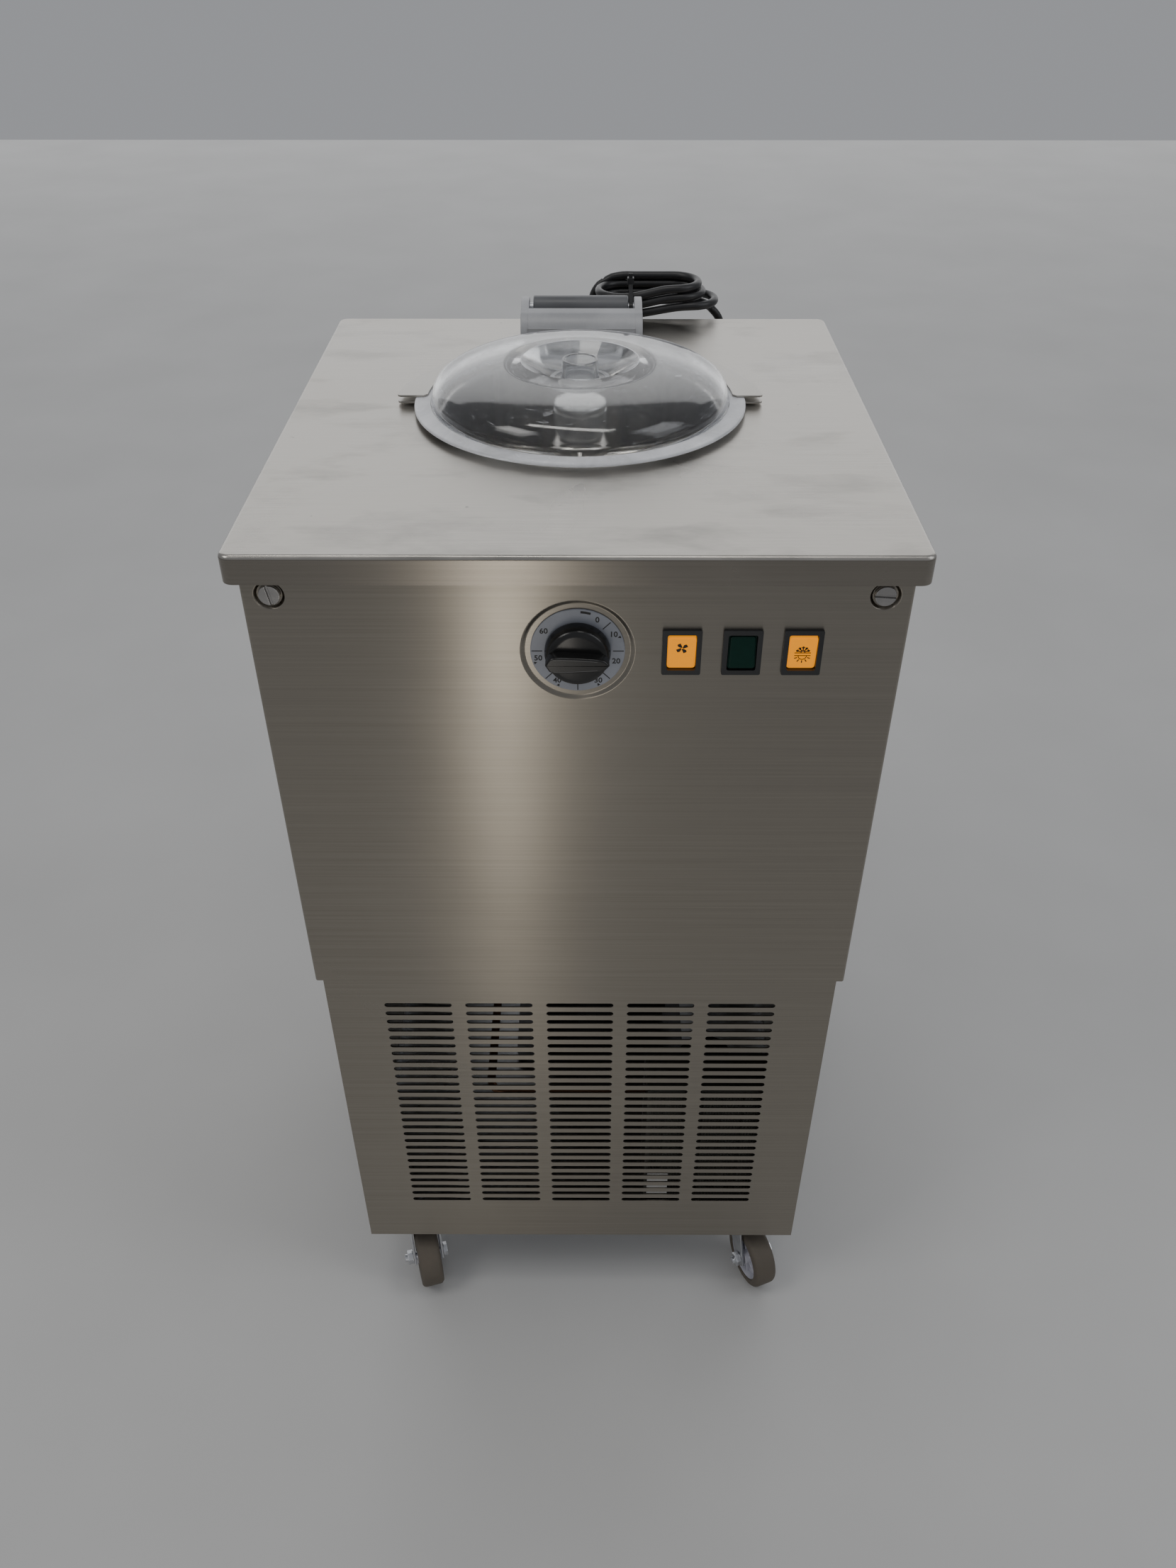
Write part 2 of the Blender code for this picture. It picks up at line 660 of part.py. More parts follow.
def make_paddle():
    bore = SHAFT_RADIUS + GAP
    sleeve = COLUMN_RADIUS + 0.0008
    floor = -BOWL_DEPTH - TOP_SHEET - GAP + 0.003
    under = -COLUMN_TOP + 0.0030
    profile = [(0.0160, -0.0183), (0.0185, -0.0192), (0.0240, -0.0270), (0.0240, -0.0285), (0.0190, -0.0305),
               (0.0190, floor), (sleeve, floor), (sleeve, under), (bore, under), (bore, -0.0183)]
    paddle = lathe(profile, 20, (0, AXIS_Y, HEIGHT))
    reach = BOWL_RADIUS - 0.0015
    arm = [(0.0178, floor), (BOWL_RADIUS - BOWL_BEND, floor), (reach, floor + BOWL_BEND),
           (reach, floor + 0.100), (reach - 0.009, floor + 0.100), (reach - 0.012, floor + 0.060),
           (0.0178, -0.044)]
    window = [(0.030, floor + 0.012), (reach - 0.020, floor + 0.012), (reach - 0.020, floor + 0.048),
              (0.030, -0.066)]
    centre = Matrix.Translation((0, AXIS_Y, HEIGHT))
    for angle in (30, 150, 270):
        wing = plate([arm, window], -0.002, 0.002, plane="XZ")
        wing.matrix_world = centre @ Matrix.Rotation(math.radians(angle), 4, "Z") @ wing.matrix_world
        joined(paddle, wing)
    finish("paddle", paddle, POLISHED)
    r = NUT_RADIUS
    nut = [(0.0, 0.0024), (r - 0.0015, 0.0024), (r - 0.0005, 0.0014), (r - 0.0005, -0.0025),
           (r - 0.0025, -0.0030), (r, -0.0035), (r, -0.0153), (r - 0.003, -0.0165),
           (r - 0.003, -0.0180), (bore, -0.0180), (bore, -0.0080), (0.0, -0.0080)]
    finish("paddle_nut", lathe(nut, 24, (0, AXIS_Y, HEIGHT)), POLISHED)


def make_refrigeration():
    x, y = COMPRESSOR_PLACE
    floor = BASE_Z + TRAY_SHEET + GAP
    corner = (x - 0.095, y - 0.070, floor + 0.008)
    mount = block(corner, (x + 0.095, y + 0.070, floor + 0.010), corner=0.01)
    for side_x in (-0.080, 0.080):
        for side_y in (-0.055, 0.055):
            foot = (x + side_x, y + side_y)
            joined(mount, rod((*foot, floor), (*foot, floor + 0.0085), 0.010, 12))
    finish("compressor_mount", mount, ZINC)
    base = floor + 0.010 + GAP
    r = COMPRESSOR_RADIUS
    h = COMPRESSOR_HEIGHT
    profile = [(0.0, h), (0.030, h - 0.002), (0.055, h - 0.010), (0.070, h - 0.025), (r - 0.002, h - 0.050),
               (r - 0.002, 0.085), (r, 0.083), (r, 0.076), (r - 0.002, 0.074), (r - 0.002, 0.030),
               (0.064, 0.008), (0.045, 0.0), (0.0, 0.0)]
    finish("compressor", lathe(profile, 20, (x, y, base)), ENAMEL)

    front = BODY_FRONT + SHEET + 0.010
    back = front + CONDENSER_DEPTH
    x0, x1 = CONDENSER_X
    z0, z1 = CONDENSER_Z
    core = block((x0, front, z0), (x1, back, z1))
    for side in (x0, x1):
        joined(core, block((side - 0.001, front - 0.004, floor), (side + 0.001, back + 0.001, z1 + 0.004)))
    grooves = 7
    pitch = (x1 - x0) / grooves
    for i in range(grooves):
        middle = x0 + (i + 0.5) * pitch
        cut(core, block((middle - 0.3 * pitch, front - 0.01, z0 + 0.01),
                         (middle + 0.3 * pitch, front + 0.006, z1 - 0.01)))
    finish("condenser", core, ALUMINIUM)

    fan_x = (x0 + x1) / 2
    fan_z = (z0 + z1) / 2
    wall = back + 0.001 + GAP
    opening = FAN_RADIUS + 0.005
    reach = (x1 - x0) / 2 + 0.002
    shroud = block((fan_x - reach, wall, z0 + 0.005), (fan_x + reach, wall + 0.002, z1 - 0.005))
    joined(shroud, rod((fan_x, wall + 0.001, fan_z), (fan_x, wall + 0.022, fan_z), opening + 0.002, 24))
    cut(shroud, rod((fan_x, wall - 0.01, fan_z), (fan_x, wall + 0.05, fan_z), opening, 24))
    finish("fan_shroud", shroud, ZINC)

    hub_front = wall + 0.004
    motor_front = wall + 0.030
    motor = rod((fan_x, motor_front, fan_z), (fan_x, motor_front + 0.046, fan_z), FAN_MOTOR_RADIUS, 20)
    joined(motor, rod((fan_x, hub_front + 0.004, fan_z), (fan_x, motor_front + 0.002, fan_z), 0.003, 12))
    for angle in (90, 210, 330):
        arm = block((FAN_MOTOR_RADIUS - 0.004, motor_front, -0.006),
                    (opening + 0.012, motor_front + 0.004, 0.006))
        post = block((opening + 0.006, wall + 0.002 + GAP, -0.005),
                     (opening + 0.011, motor_front + 0.002, 0.005))
        turn = Matrix.Translation((fan_x, 0, fan_z)) @ Matrix.Rotation(math.radians(angle), 4, "Y")
        for piece in (arm, post):
            piece.matrix_world = turn
            joined(motor, piece)
    finish("fan_motor", motor, ENAMEL)

    blade = rod((fan_x, hub_front, fan_z), (fan_x, hub_front + 0.018, fan_z), FAN_HUB, 20)
    for i in range(5):
        wing = block((FAN_HUB - 0.004, -0.001, -0.018), (FAN_RADIUS, 0.001, 0.018))
        pitch_turn = Matrix.Rotation(math.radians(18), 4, "X")
        around = Matrix.Rotation(2 * math.pi * i / 5, 4, "Y")
        wing.matrix_world = Matrix.Translation((fan_x, hub_front + 0.009, fan_z)) @ around @ pitch_turn
        joined(blade, wing)
    cut(blade, rod((fan_x, hub_front + 0.003, fan_z), (fan_x, hub_front + 0.03, fan_z), 0.0033, 12))
    finish("fan_blade", blade, ALUMINIUM, origin=(fan_x, hub_front, fan_z))

    level = BASE_Z + DISCHARGE_LEVEL
    start = x - COMPRESSOR_RADIUS - 2 * GAP
    bend = 0.014
    left = start - 0.010 - bend
    top = z1 - 0.030
    middle = (front + back) / 2
    points = [(start, y, level)]
    points += [(along, y, height) for along, height in arc(left + bend, level + bend, bend, -90, -180, 4)]
    points += [(left, along, height) for along, height in arc(y - bend, top - bend, bend, 0, 90, 4)]
    points += [(across, along, top) for across, along in arc(left + bend, middle + bend, bend, 180, 270, 4)]
    points += [(x0 - 0.001 - GAP, middle, top)]
    finish("discharge_pipe", tube(points, 0.004), COPPER)


# Controls on the front cover


def make_timer():
    z = HEIGHT - DIAL_Z
    floor = COVER_FRONT + RECESS_DEPTH
    back = floor + SHEET + GAP
    body = block((-0.029, back, z - 0.029), (0.029, back + 0.040, z + 0.029), corner=0.004)
    cut(body, rod((0, back - 0.01, z), (0, back + 0.012, z), 0.0033, 12))
    finish("timer_body", body, BLACK)
    dial = rod((0, floor - GAP, z), (0, floor - GAP - 0.001, z), DIAL_RADIUS, 40)
    cut(dial, rod((0, floor - 0.01, z), (0, floor + 0.01, z), 0.0055, 12))
    finish("dial_plate", dial, DIAL_WHITE)
    base = floor - 0.001 - 2 * GAP
    r = KNOB_RADIUS
    profile = [(0.0, KNOB_DEPTH * 0.55), (r - 0.004, KNOB_DEPTH * 0.55), (r - 0.002, KNOB_DEPTH * 0.48),
               (r, 0.003), (r, 0.0), (0.0, 0.0)]
    knob = lathe(profile, 24, (0, base, z), axis="Y")
    grip = block((-r + 0.001, base - KNOB_DEPTH, z - 0.0048), (r - 0.001, base - 0.004, z + 0.0048))
    joined(knob, grip, rod((0, base - 0.004, z), (0, back + 0.010, z), 0.0030, 12))
    finish("timer_knob", knob, BLACK)


def make_switches():
    z = HEIGHT - DIAL_Z
    face = COVER_FRONT - GAP
    front = face - 0.0022
    pivot_y = face + 0.0045
    stub = 0.0010
    for name, x in SWITCH_X.items():

        def around(size, grow_x, grow_z, low, high):
            """A box round the switch's centre between two depths."""
            half_x = size[0] / 2 + grow_x
            half_z = size[1] / 2 + grow_z
            return block((x - half_x, low, z - half_z), (x + half_x, high, z + half_z))

        def pivot(reach, radius):
            half = ROCKER[0] / 2 + reach
            return rod((x - half, pivot_y, z), (x + half, pivot_y, z), radius, 12)

        body = around(BEZEL, 0.0, 0.0, front, face)
        joined(body, around(CUTOUT, -GAP, -GAP, face - 0.001, face + 0.024))
        cut(body, around(ROCKER, GAP, 0.0008, front - 0.01, face + 0.014))
        cut(body, pivot(stub, stub + GAP))
        finish("switch_body_" + name, body, BLACK)
        rocker = around(ROCKER, 0.0, 0.0, front + 0.0004, pivot_y + 0.002)
        joined(rocker, pivot(0.0008, stub))
        look = GREEN if name == "power" else AMBER
        piece = finish("rocker_" + name, rocker, look, origin=(x, pivot_y, z))
        piece.rotation_euler = (math.radians(SWITCH_ON[name] * SWITCH_TILT), 0.0, 0.0)


def make_panel_screws():
    z = HEIGHT - SCREW_Z
    floor = COVER_FRONT + dimple_depth()
    for name, side, turn in (("panel_screw_left", -1, 80.0), ("panel_screw_right", 1, 4.0)):
        x = side * SCREW_X
        back = floor - GAP
        rim = SCREW_RADIUS - 0.0006
        head = rod((x, back, z), (x, back - 0.0028, z), SCREW_RADIUS, 20, end_radius=rim)
        joined(head, rod((x, back - 0.001, z), (x, back + 0.014, z), SCREW_SHANK, 12))
        slot = block((-0.01, back - 0.005, -0.0007), (0.01, back - 0.0015, 0.0007))
        slot.matrix_world = Matrix.Translation((x, 0, z)) @ Matrix.Rotation(math.radians(turn), 4, "Y")
        finish(name, cut(head, slot), ZINC)


# Lid and hinge


def dome_points(radius, base, count):
    """The dome's curve from its crown out to its foot."""
    made = []
    for i in range(count + 1):
        t = math.radians(24 + 66 * i / count)
        made.append((radius * math.sin(t) ** (2 / 2.6), base + DOME_RISE * math.cos(t) ** (2 / 3.4)))
    return made


def make_lid():
    top = FLANGE_BOTTOM + FLANGE_THICK
    outside = dome_points(DOME_RADIUS, top, 7)
    inside = dome_points(DOME_RADIUS - DOME_WALL, top - DOME_WALL, 6)
    inside.reverse()
    inside[0] = (DOME_RADIUS - DOME_WALL, FLANGE_BOTTOM)
    crown = top + DOME_RISE
    throat_z = 0.0200
    rim = FUNNEL_RADIUS
    profile = [(rim + 0.0025, crown)]
    profile += outside
    profile += [(FLANGE_RADIUS - 0.001, top), (FLANGE_RADIUS, top - 0.001), (FLANGE_RADIUS, FLANGE_BOTTOM)]
    profile += inside
    profile += [(FUNNEL_THROAT + 0.0070, throat_z - 0.0025), (FUNNEL_THROAT, throat_z - 0.0025),
                (FUNNEL_THROAT, throat_z), (FUNNEL_THROAT + 0.004, throat_z), (rim, crown)]
    finish("lid_dome", lathe(profile, 36, (0, AXIS_Y, HEIGHT)), CLEAR)
    r = PLUG_TUBE_RADIUS
    seat = throat_z + GAP
    plug = [(0.0, seat + 0.0022), (r - 0.0025, seat + 0.0022), (r - 0.0025, crown), (r, crown),
            (r, seat + 0.0030), (FUNNEL_THROAT + 0.0030, seat + 0.0022), (FUNNEL_THROAT + 0.0030, seat),
            (FUNNEL_THROAT - 0.0006, seat), (FUNNEL_THROAT - 0.0006, seat - 0.003), (0.0, seat - 0.003)]
    finish("funnel_plug", lathe(plug, 24, (0, AXIS_Y, HEIGHT)), CLEAR)


def make_carriers():
    """Two sheet half rings hold the rear half of the lid's flange between them."""
    rear = HINGE_Y - 0.019
    mouth = math.degrees(math.asin(TONGUE_HALF / CARRIER_OUTER))
    right = arc(0, 0, CARRIER_OUTER, 24, 90 - mouth, 10)
    left = [(-x, y) for x, y in reversed(right)]
    inner = arc(0, 0, CARRIER_INNER, 178, 2, 24)
    ear = [(CARRIER_INNER + 0.003, 0.0), (EAR_REACH - 0.003, 0.0), (EAR_REACH, 0.003),
           (EAR_REACH - 0.002, 0.020)]
    ear_left = [(-x, y) for x, y in reversed(ear)]
    tongue = [(TONGUE_HALF, rear - AXIS_Y), (-TONGUE_HALF, rear - AXIS_Y)]
    outline = [(x, y + AXIS_Y) for x, y in ear + right + tongue + left + ear_left + inner]
    top = FLANGE_BOTTOM + FLANGE_THICK + GAP
    under = FLANGE_BOTTOM - GAP
    finish("lid_carrier_upper", plate([outline], HEIGHT + top, HEIGHT + top + CARRIER_SHEET), POLISHED)
    finish("lid_carrier_lower", plate([outline], HEIGHT + under - CARRIER_SHEET, HEIGHT + under), POLISHED)


def make_hinge():
    y = HINGE_Y
    z = HEIGHT + HINGE_Z
    seat = HEIGHT + FLANGE_BOTTOM + FLANGE_THICK + CARRIER_SHEET + 2 * GAP
    bottom = HEIGHT + FLANGE_BOTTOM - CARRIER_SHEET - GAP
    front = arc(y - 0.0170, z - 0.0190, 0.0240, 173, 112, 5)
    back = arc(y, z, 0.0095, 60, -80, 6)
    outline = [(y - 0.0400, bottom)] + front + [(y - 0.0090, z + 0.0085)] + back + [(y - 0.0120, bottom)]
    casting = plate([outline], -CASTING_HALF, CASTING_HALF, plane="YZ")
    cut(casting, block((-EAR_INNER, y - 0.0165, z - 0.03), (EAR_INNER, y + 0.03, z + 0.03)))
    cut(casting, block((-EAR_INNER, y - 0.06, z - 0.04), (EAR_INNER, y + 0.03, seat)))
    pocket = EAR_INNER - 0.003
    cut(casting, block((-pocket, y - 0.0360, seat - 0.01), (pocket, y - 0.0195, z - 0.0015)))
    bore = PIN_RADIUS + 0.0002
    cut(casting, rod((-0.06, y, z), (0.06, y, z), bore, 16))
    finish("hinge_casting", casting, CAST_GREY, origin=(0, y, z))
    barrel = rod((BARREL_LEFT, y, z), (BARREL_RIGHT, y, z), BARREL_RADIUS, 24)
    foot = (BARREL_LEFT, y - 0.0080, HEIGHT + GAP)
    joined(barrel, block(foot, (BARREL_RIGHT, y + 0.0165, z - 0.004)))
    cut(barrel, rod((-0.06, y, z), (0.06, y, z), bore, 16))
    finish("hinge_barrel", barrel, CAST_GREY)
    end = CASTING_HALF - 0.0004
    finish("hinge_pin", rod((-end, y, z), (end, y, z), PIN_RADIUS, 16), ZINC)


# Castors


def castor_fork():
    """A swivel fork with its kingpin on the local Z axis and its wheel towards local -Y."""
    seat = BASE_Z - GAP
    half = WHEEL_WIDTH / 2 + FORK_GAP
    leg = FORK_SHEET
    top = seat - 0.007
    fork = rod((0, 0, top), (0, 0, seat), 0.024, 16)
    joined(fork, rod((0, 0, seat - 0.002), (0, 0, seat + 0.012), KINGPIN_RADIUS, 12))
    eye = arc(-CASTOR_TRAIL, WHEEL_RADIUS, 0.0090, 200, 340, 6)
    outline = eye + [(0.014, top + 0.0010), (-0.020, top + 0.0010)]
    for side in (-1, 1):
        low = half if side > 0 else -half - leg
        joined(fork, plate([outline], low, low + leg, plane="YZ"))
    joined(fork, block((-half - leg, -0.020, top - 0.003), (half + leg, 0.014, top + 0.001)))
    y = -CASTOR_TRAIL
    cut(fork, rod((-0.05, y, WHEEL_RADIUS), (0.05, y, WHEEL_RADIUS), AXLE_RADIUS + GAP, 12))
    return fork


def castor_axle():
    reach = WHEEL_WIDTH / 2 + FORK_GAP + FORK_SHEET + GAP
    y = -CASTOR_TRAIL
    z = WHEEL_RADIUS
    axle = rod((-reach - 0.0085, y, z), (reach + 0.001, y, z), AXLE_RADIUS, 12)
    joined(axle, rod((-reach, y, z), (-reach - 0.0055, y, z), 0.0070, 6))
    joined(axle, rod((reach, y, z), (reach + 0.0045, y, z), 0.0070, 6))
    return axle


def castor_wheel():
    """A tyre round a dished hub disc, turned on its axle."""
    r = WHEEL_RADIUS
    half = WHEEL_WIDTH / 2
    hub = AXLE_RADIUS + GAP
    profile = [(r - 0.004, half), (r, half - 0.004), (r, -half + 0.004), (r - 0.004, -half),
               (r - 0.0095, -half), (r - 0.0105, -0.0060), (hub + 0.0047, -0.0060), (hub + 0.0042, -half),
               (hub, -half), (hub, half), (hub + 0.0042, half), (hub + 0.0047, 0.0060),
               (r - 0.0105, 0.0060), (r - 0.0095, half)]
    return lathe(profile, 20, (0, -CASTOR_TRAIL, r), axis="X")


def make_castors():
    for name, (side_x, side_y, turn) in CASTOR_TURN.items():
        centre = Matrix.Translation((side_x * CASTOR_X, side_y * CASTOR_Y, 0.0))
        pin = centre @ Matrix.Rotation(math.radians(turn), 4, "Z")
        pieces = (("castor_fork_", castor_fork(), ZINC), ("castor_axle_", castor_axle(), ZINC),
                  ("castor_wheel_", castor_wheel(), TYRE))
        for part, shape, look in pieces:
            bpy.context.view_layer.update()
            for step in shape.modifiers:
                if step.type == "BOOLEAN":
                    step.object.matrix_world = pin @ step.object.matrix_world
            shape.matrix_world = pin @ shape.matrix_world
            finish(part + name, shape, look)


# Mains cord


def raised(route, height):
    return [(x, y, z + height) for x, y, z in route]


def riser_route():
    foot = raised(RISER_FOOT, GLAND_Z)
    head = raised(RISER_HEAD, HEIGHT)
    climb = head[0][2] - foot[-1][2]
    rise = [(x, y, foot[-1][2] + share * climb) for x, y, share in RISER_RISE]
    return foot + rise + head


def make_cord():
    y = BODY_REAR
    gland = [(0.0, 0.0360), (0.0046, 0.0360), (0.0055, 0.0200), (0.0075, 0.0085), (0.0110, 0.0085),
             (0.0110, GAP), (GLAND_RADIUS, GAP), (GLAND_RADIUS, -0.0160), (0.0, -0.0160)]
    obj = lathe(gland, 20, (GLAND_X, y, GLAND_Z), axis="Y")
    obj.rotation_euler = (math.radians(-90), 0.0, 0.0)
    finish("cord_gland", obj, BLACK)
    finish("cord_riser", tube(smooth_route(riser_route(), 0.022), CORD_RADIUS), RUBBER)
    finish("cord_tail", tube(smooth_route(raised(TAIL_ROUTE, HEIGHT), 0.014), CORD_RADIUS), RUBBER)
    low = HEIGHT + HANK_LIFT
    high = low + HANK_TURNS * 2 * CORD_RADIUS
    outer = HANK_FOLD + CORD_RADIUS
    left = HANK_LEFT + outer
    right = HANK_LEFT + HANK_LENGTH - outer

    def stadium(radius):
        return arc(right, HANK_Y, radius, -90, 90, 10) + arc(left, HANK_Y, radius, 90, 270, 10)

    hank = plate([stadium(outer), stadium(HANK_FOLD - CORD_RADIUS)], low, high)
    finish("cord_hank", hank, RUBBER)
    make_tie(low, high)
    make_plug()


def make_tie(low, high):
    """A strap round the hinge pin and the hank's near run, with its lock on top."""
    near = HANK_Y - HANK_FOLD - CORD_RADIUS
    far = HANK_Y - HANK_FOLD + CORD_RADIUS
    z = HEIGHT + HINGE_Z
    strap = 0.0012

    def loop(grow):
        pin = PIN_RADIUS + GAP + grow
        edge = GAP + grow
        return (arc(HINGE_Y, z, pin, 130, 235, 5)
                + [(near - edge, low - edge), (far + edge, low - edge), (far + edge, high + edge),
                   (near - edge, high + edge)])

    middle = (BARREL_RIGHT + EAR_INNER) / 2
    tie = plate([loop(strap), loop(0.0)], middle - 0.0018, middle + 0.0018, plane="YZ")
    lock = (middle - 0.0030, near, high + GAP + 0.0006)
    joined(tie, block(lock, (middle + 0.0030, far, high + 0.0068)))
    tail = (middle - 0.0018, near + 0.002, high + 0.006)
    joined(tie, block(tail, (middle + 0.0018, near + 0.0035, high + 0.0105)))
    finish("cord_tie", tie, BLACK)


def make_plug():
    """A round two-pin earthed plug that hangs on the cord's tail, pins down."""
    x, y, z = raised(TAIL_ROUTE, HEIGHT)[-1]
    profile = [(0.0, -GAP), (0.0055, -GAP), (0.0070, -0.016), (0.0130, -0.020), (0.0185, -0.034),
               (0.0195, -0.040), (0.0195, -0.056), (0.0, -0.056)]
    plug = lathe(profile, 24, (x, y, z))
    for side in (-1, 1):
        pin_x = x + side * 0.0095
        joined(plug, rod((pin_x, y, z - 0.055), (pin_x, y, z - 0.075), 0.0024, 10))
    finish("mains_plug", plug, BLACK)


def main():
    make_top_plate()
    make_front_cover()
    make_grille_panel()
    make_side_panels()
    make_rear_panel()
    make_base_tray()
    make_deck()
    make_bowl()
    make_jacket()
    make_coil()
    make_drive()
    make_paddle()
    make_refrigeration()
    make_timer()
    make_switches()
    make_panel_screws()
    make_lid()
    make_carriers()
    make_hinge()
    make_castors()
    make_cord()


main()
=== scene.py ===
"""The looks of the floor-standing ice cream maker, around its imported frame. Metres, +Z up."""

import json
import math

import bmesh
import bpy
from mathutils import Matrix, Vector


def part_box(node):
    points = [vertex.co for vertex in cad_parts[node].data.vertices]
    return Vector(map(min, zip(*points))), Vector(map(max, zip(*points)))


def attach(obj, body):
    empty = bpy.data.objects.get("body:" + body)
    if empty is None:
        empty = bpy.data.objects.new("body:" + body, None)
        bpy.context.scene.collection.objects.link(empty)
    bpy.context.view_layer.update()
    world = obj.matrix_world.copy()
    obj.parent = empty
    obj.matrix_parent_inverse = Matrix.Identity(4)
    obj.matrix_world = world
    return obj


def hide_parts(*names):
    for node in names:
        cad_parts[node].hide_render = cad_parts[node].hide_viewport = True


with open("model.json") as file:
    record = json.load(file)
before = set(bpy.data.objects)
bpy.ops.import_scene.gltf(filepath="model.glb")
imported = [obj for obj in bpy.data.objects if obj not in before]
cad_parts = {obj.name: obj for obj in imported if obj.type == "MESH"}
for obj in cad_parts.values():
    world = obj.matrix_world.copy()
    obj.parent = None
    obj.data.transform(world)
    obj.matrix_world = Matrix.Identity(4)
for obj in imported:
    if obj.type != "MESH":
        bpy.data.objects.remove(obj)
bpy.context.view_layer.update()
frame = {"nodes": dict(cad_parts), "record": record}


def rotation(angle, axis):
    """A turn by an angle in degrees about an axis."""
    return Matrix.Rotation(math.radians(angle), 4, axis)


# Places read from the frame
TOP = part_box("top_plate")[1].z
TOP_LOW, TOP_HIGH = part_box("top_plate")
COVER_LOW, COVER_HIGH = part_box("front_cover")
COVER_FRONT = COVER_LOW.y
GRILLE_LOW, GRILLE_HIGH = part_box("grille_panel")
REAR_LOW, REAR_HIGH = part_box("rear_panel")
DOME_LOW, DOME_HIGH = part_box("lid_dome")
AXIS = (DOME_LOW + DOME_HIGH) / 2
KNOB_LOW, KNOB_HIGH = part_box("timer_knob")
DIAL_Z = (KNOB_LOW.z + KNOB_HIGH.z) / 2
PIN_LOW, PIN_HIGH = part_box("hinge_pin")
HINGE = (PIN_LOW + PIN_HIGH) / 2
HANK_LOW, HANK_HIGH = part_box("cord_hank")
GLAND_LOW, GLAND_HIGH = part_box("cord_gland")
SHEET = 0.0012
GAP = 0.0003

# Cord, by the same points as its solids
CORD_RADIUS = 0.00375
HANK_FOLD = 0.0225
HANK_TURNS = 4
RISER_ROUTE = (
    (0.1280, 0.2656, 0.1500), (0.1280, 0.2760, 0.1495), (0.1281, 0.2860, 0.1462),
    (0.1284, 0.2960, 0.1402), (0.1289, 0.3060, 0.1362), (0.1295, 0.3165, 0.1372),
    (0.1302, 0.3255, 0.1442), (0.1308, 0.3312, 0.1550), (0.1313, 0.3335, 0.1700),
    (0.1318, 0.3325, 0.2000), (0.1325, 0.3270, 0.2600), (0.1331, 0.3180, 0.3400),
    (0.1335, 0.3080, 0.4300), (0.1337, 0.2990, 0.5200), (0.1338, 0.2910, 0.6100),
    (0.1338, 0.2840, 0.7000), (0.1338, 0.2790, 0.7700), (0.1338, 0.2775, 0.8100),
    (0.1336, 0.2775, 0.8262), (0.1317, 0.2775, 0.8365), (0.1283, 0.2775, 0.8427),
    (0.1215, 0.2775, 0.8496),
)
TAIL_ROUTE = (
    (0.0184, 0.2775, 0.8715), (0.0143, 0.2775, 0.8672), (0.0108, 0.2775, 0.8612), (0.0090, 0.2775, 0.8520),
    (0.0083, 0.2773, 0.8420), (0.0082, 0.2770, 0.8280), (0.0082, 0.2768, 0.8100),
    (0.0082, 0.2767, 0.7900), (0.0082, 0.2766, 0.7760),
)


# Camera, lights and floor


def make_stage():
    """A camera at eye height in front, a pale floor and soft studio lights."""
    camera = bpy.data.objects.new("camera", bpy.data.cameras.new("camera"))
    camera.data.sensor_width = 36.0
    camera.data.lens = 28.06
    camera.data.clip_start = 0.05
    camera.location = (0.0090, -0.9257, 1.2008)
    camera.rotation_euler = (math.radians(90.0 - 37.62), 0.0, 0.0030)
    bpy.context.scene.collection.objects.link(camera)
    bpy.context.scene.camera = camera

    bm = bmesh.new()
    bmesh.ops.create_grid(bm, x_segments=1, y_segments=1, size=6.0)
    floor = from_bmesh(bm)
    floor.name = "floor"
    look = surface("floor_paint", (0.52, 0.52, 0.515), 0.7)
    tint(look, noise_value(look, 3.0, detail=6), (0.50, 0.50, 0.495), (0.54, 0.54, 0.535))
    floor.data.materials.append(look)

    world = bpy.data.worlds.new("studio")
    world.use_nodes = True
    world.node_tree.nodes["Background"].inputs["Color"].default_value = (0.93, 0.95, 1.0, 1.0)
    world.node_tree.nodes["Background"].inputs["Strength"].default_value = 0.34
    bpy.context.scene.world = world
    lights = (
        ("key", (-1.9, -1.0, 3.0), (0.0, 0.0, 0.6), 1.2, 1.2, 16.0, (1.0, 0.98, 0.95)),
        ("strip", (-0.125, -1.2, 0.34), (-0.04, 0.0, 0.45), 0.07, 0.6, 0.75, (1.0, 0.94, 0.84)),
        ("fill", (1.9, -0.6, 2.2), (0.0, 0.0, 0.5), 1.2, 1.6, 10.0, (0.95, 0.97, 1.0)),
        ("back", (0.0, 6.0, 3.0), (0.0, 0.0, 1.6), 12.0, 6.0, 210.0, (1.0, 1.0, 1.0)),
        ("ceiling", (-0.1, -0.2, 3.0), (0.0, 0.0, 0.0), 1.6, 0.30, 9.0, (1.0, 0.98, 0.94)),
    )
    for name, place_at, aim, wide, high, power, colour in lights:
        data = bpy.data.lights.new(name, "AREA")
        data.shape = "RECTANGLE"
        data.size = wide
        data.size_y = high
        data.energy = power
        data.color = colour
        light = bpy.data.objects.new(name, data)
        light.location = place_at
        light.visible_camera = False
        light.rotation_euler = (Vector(aim) - Vector(place_at)).to_track_quat("-Z", "Y").to_euler()
        bpy.context.scene.collection.objects.link(light)


# Materials: a Principled surface, and the node patterns that vary it


def surface(name, colour, roughness, metallic=0.0, **sockets):
    made = bpy.data.materials.new(name)
    made.use_nodes = True
    shader = made.node_tree.nodes["Principled BSDF"]
    shader.inputs["Base Color"].default_value = (*colour, 1.0)
    shader.inputs["Roughness"].default_value = roughness
    shader.inputs["Metallic"].default_value = metallic
    for socket, value in sockets.items():
        shader.inputs[socket.replace("_", " ")].default_value = value
    return made


def shader_of(look):
    return look.node_tree.nodes["Principled BSDF"]


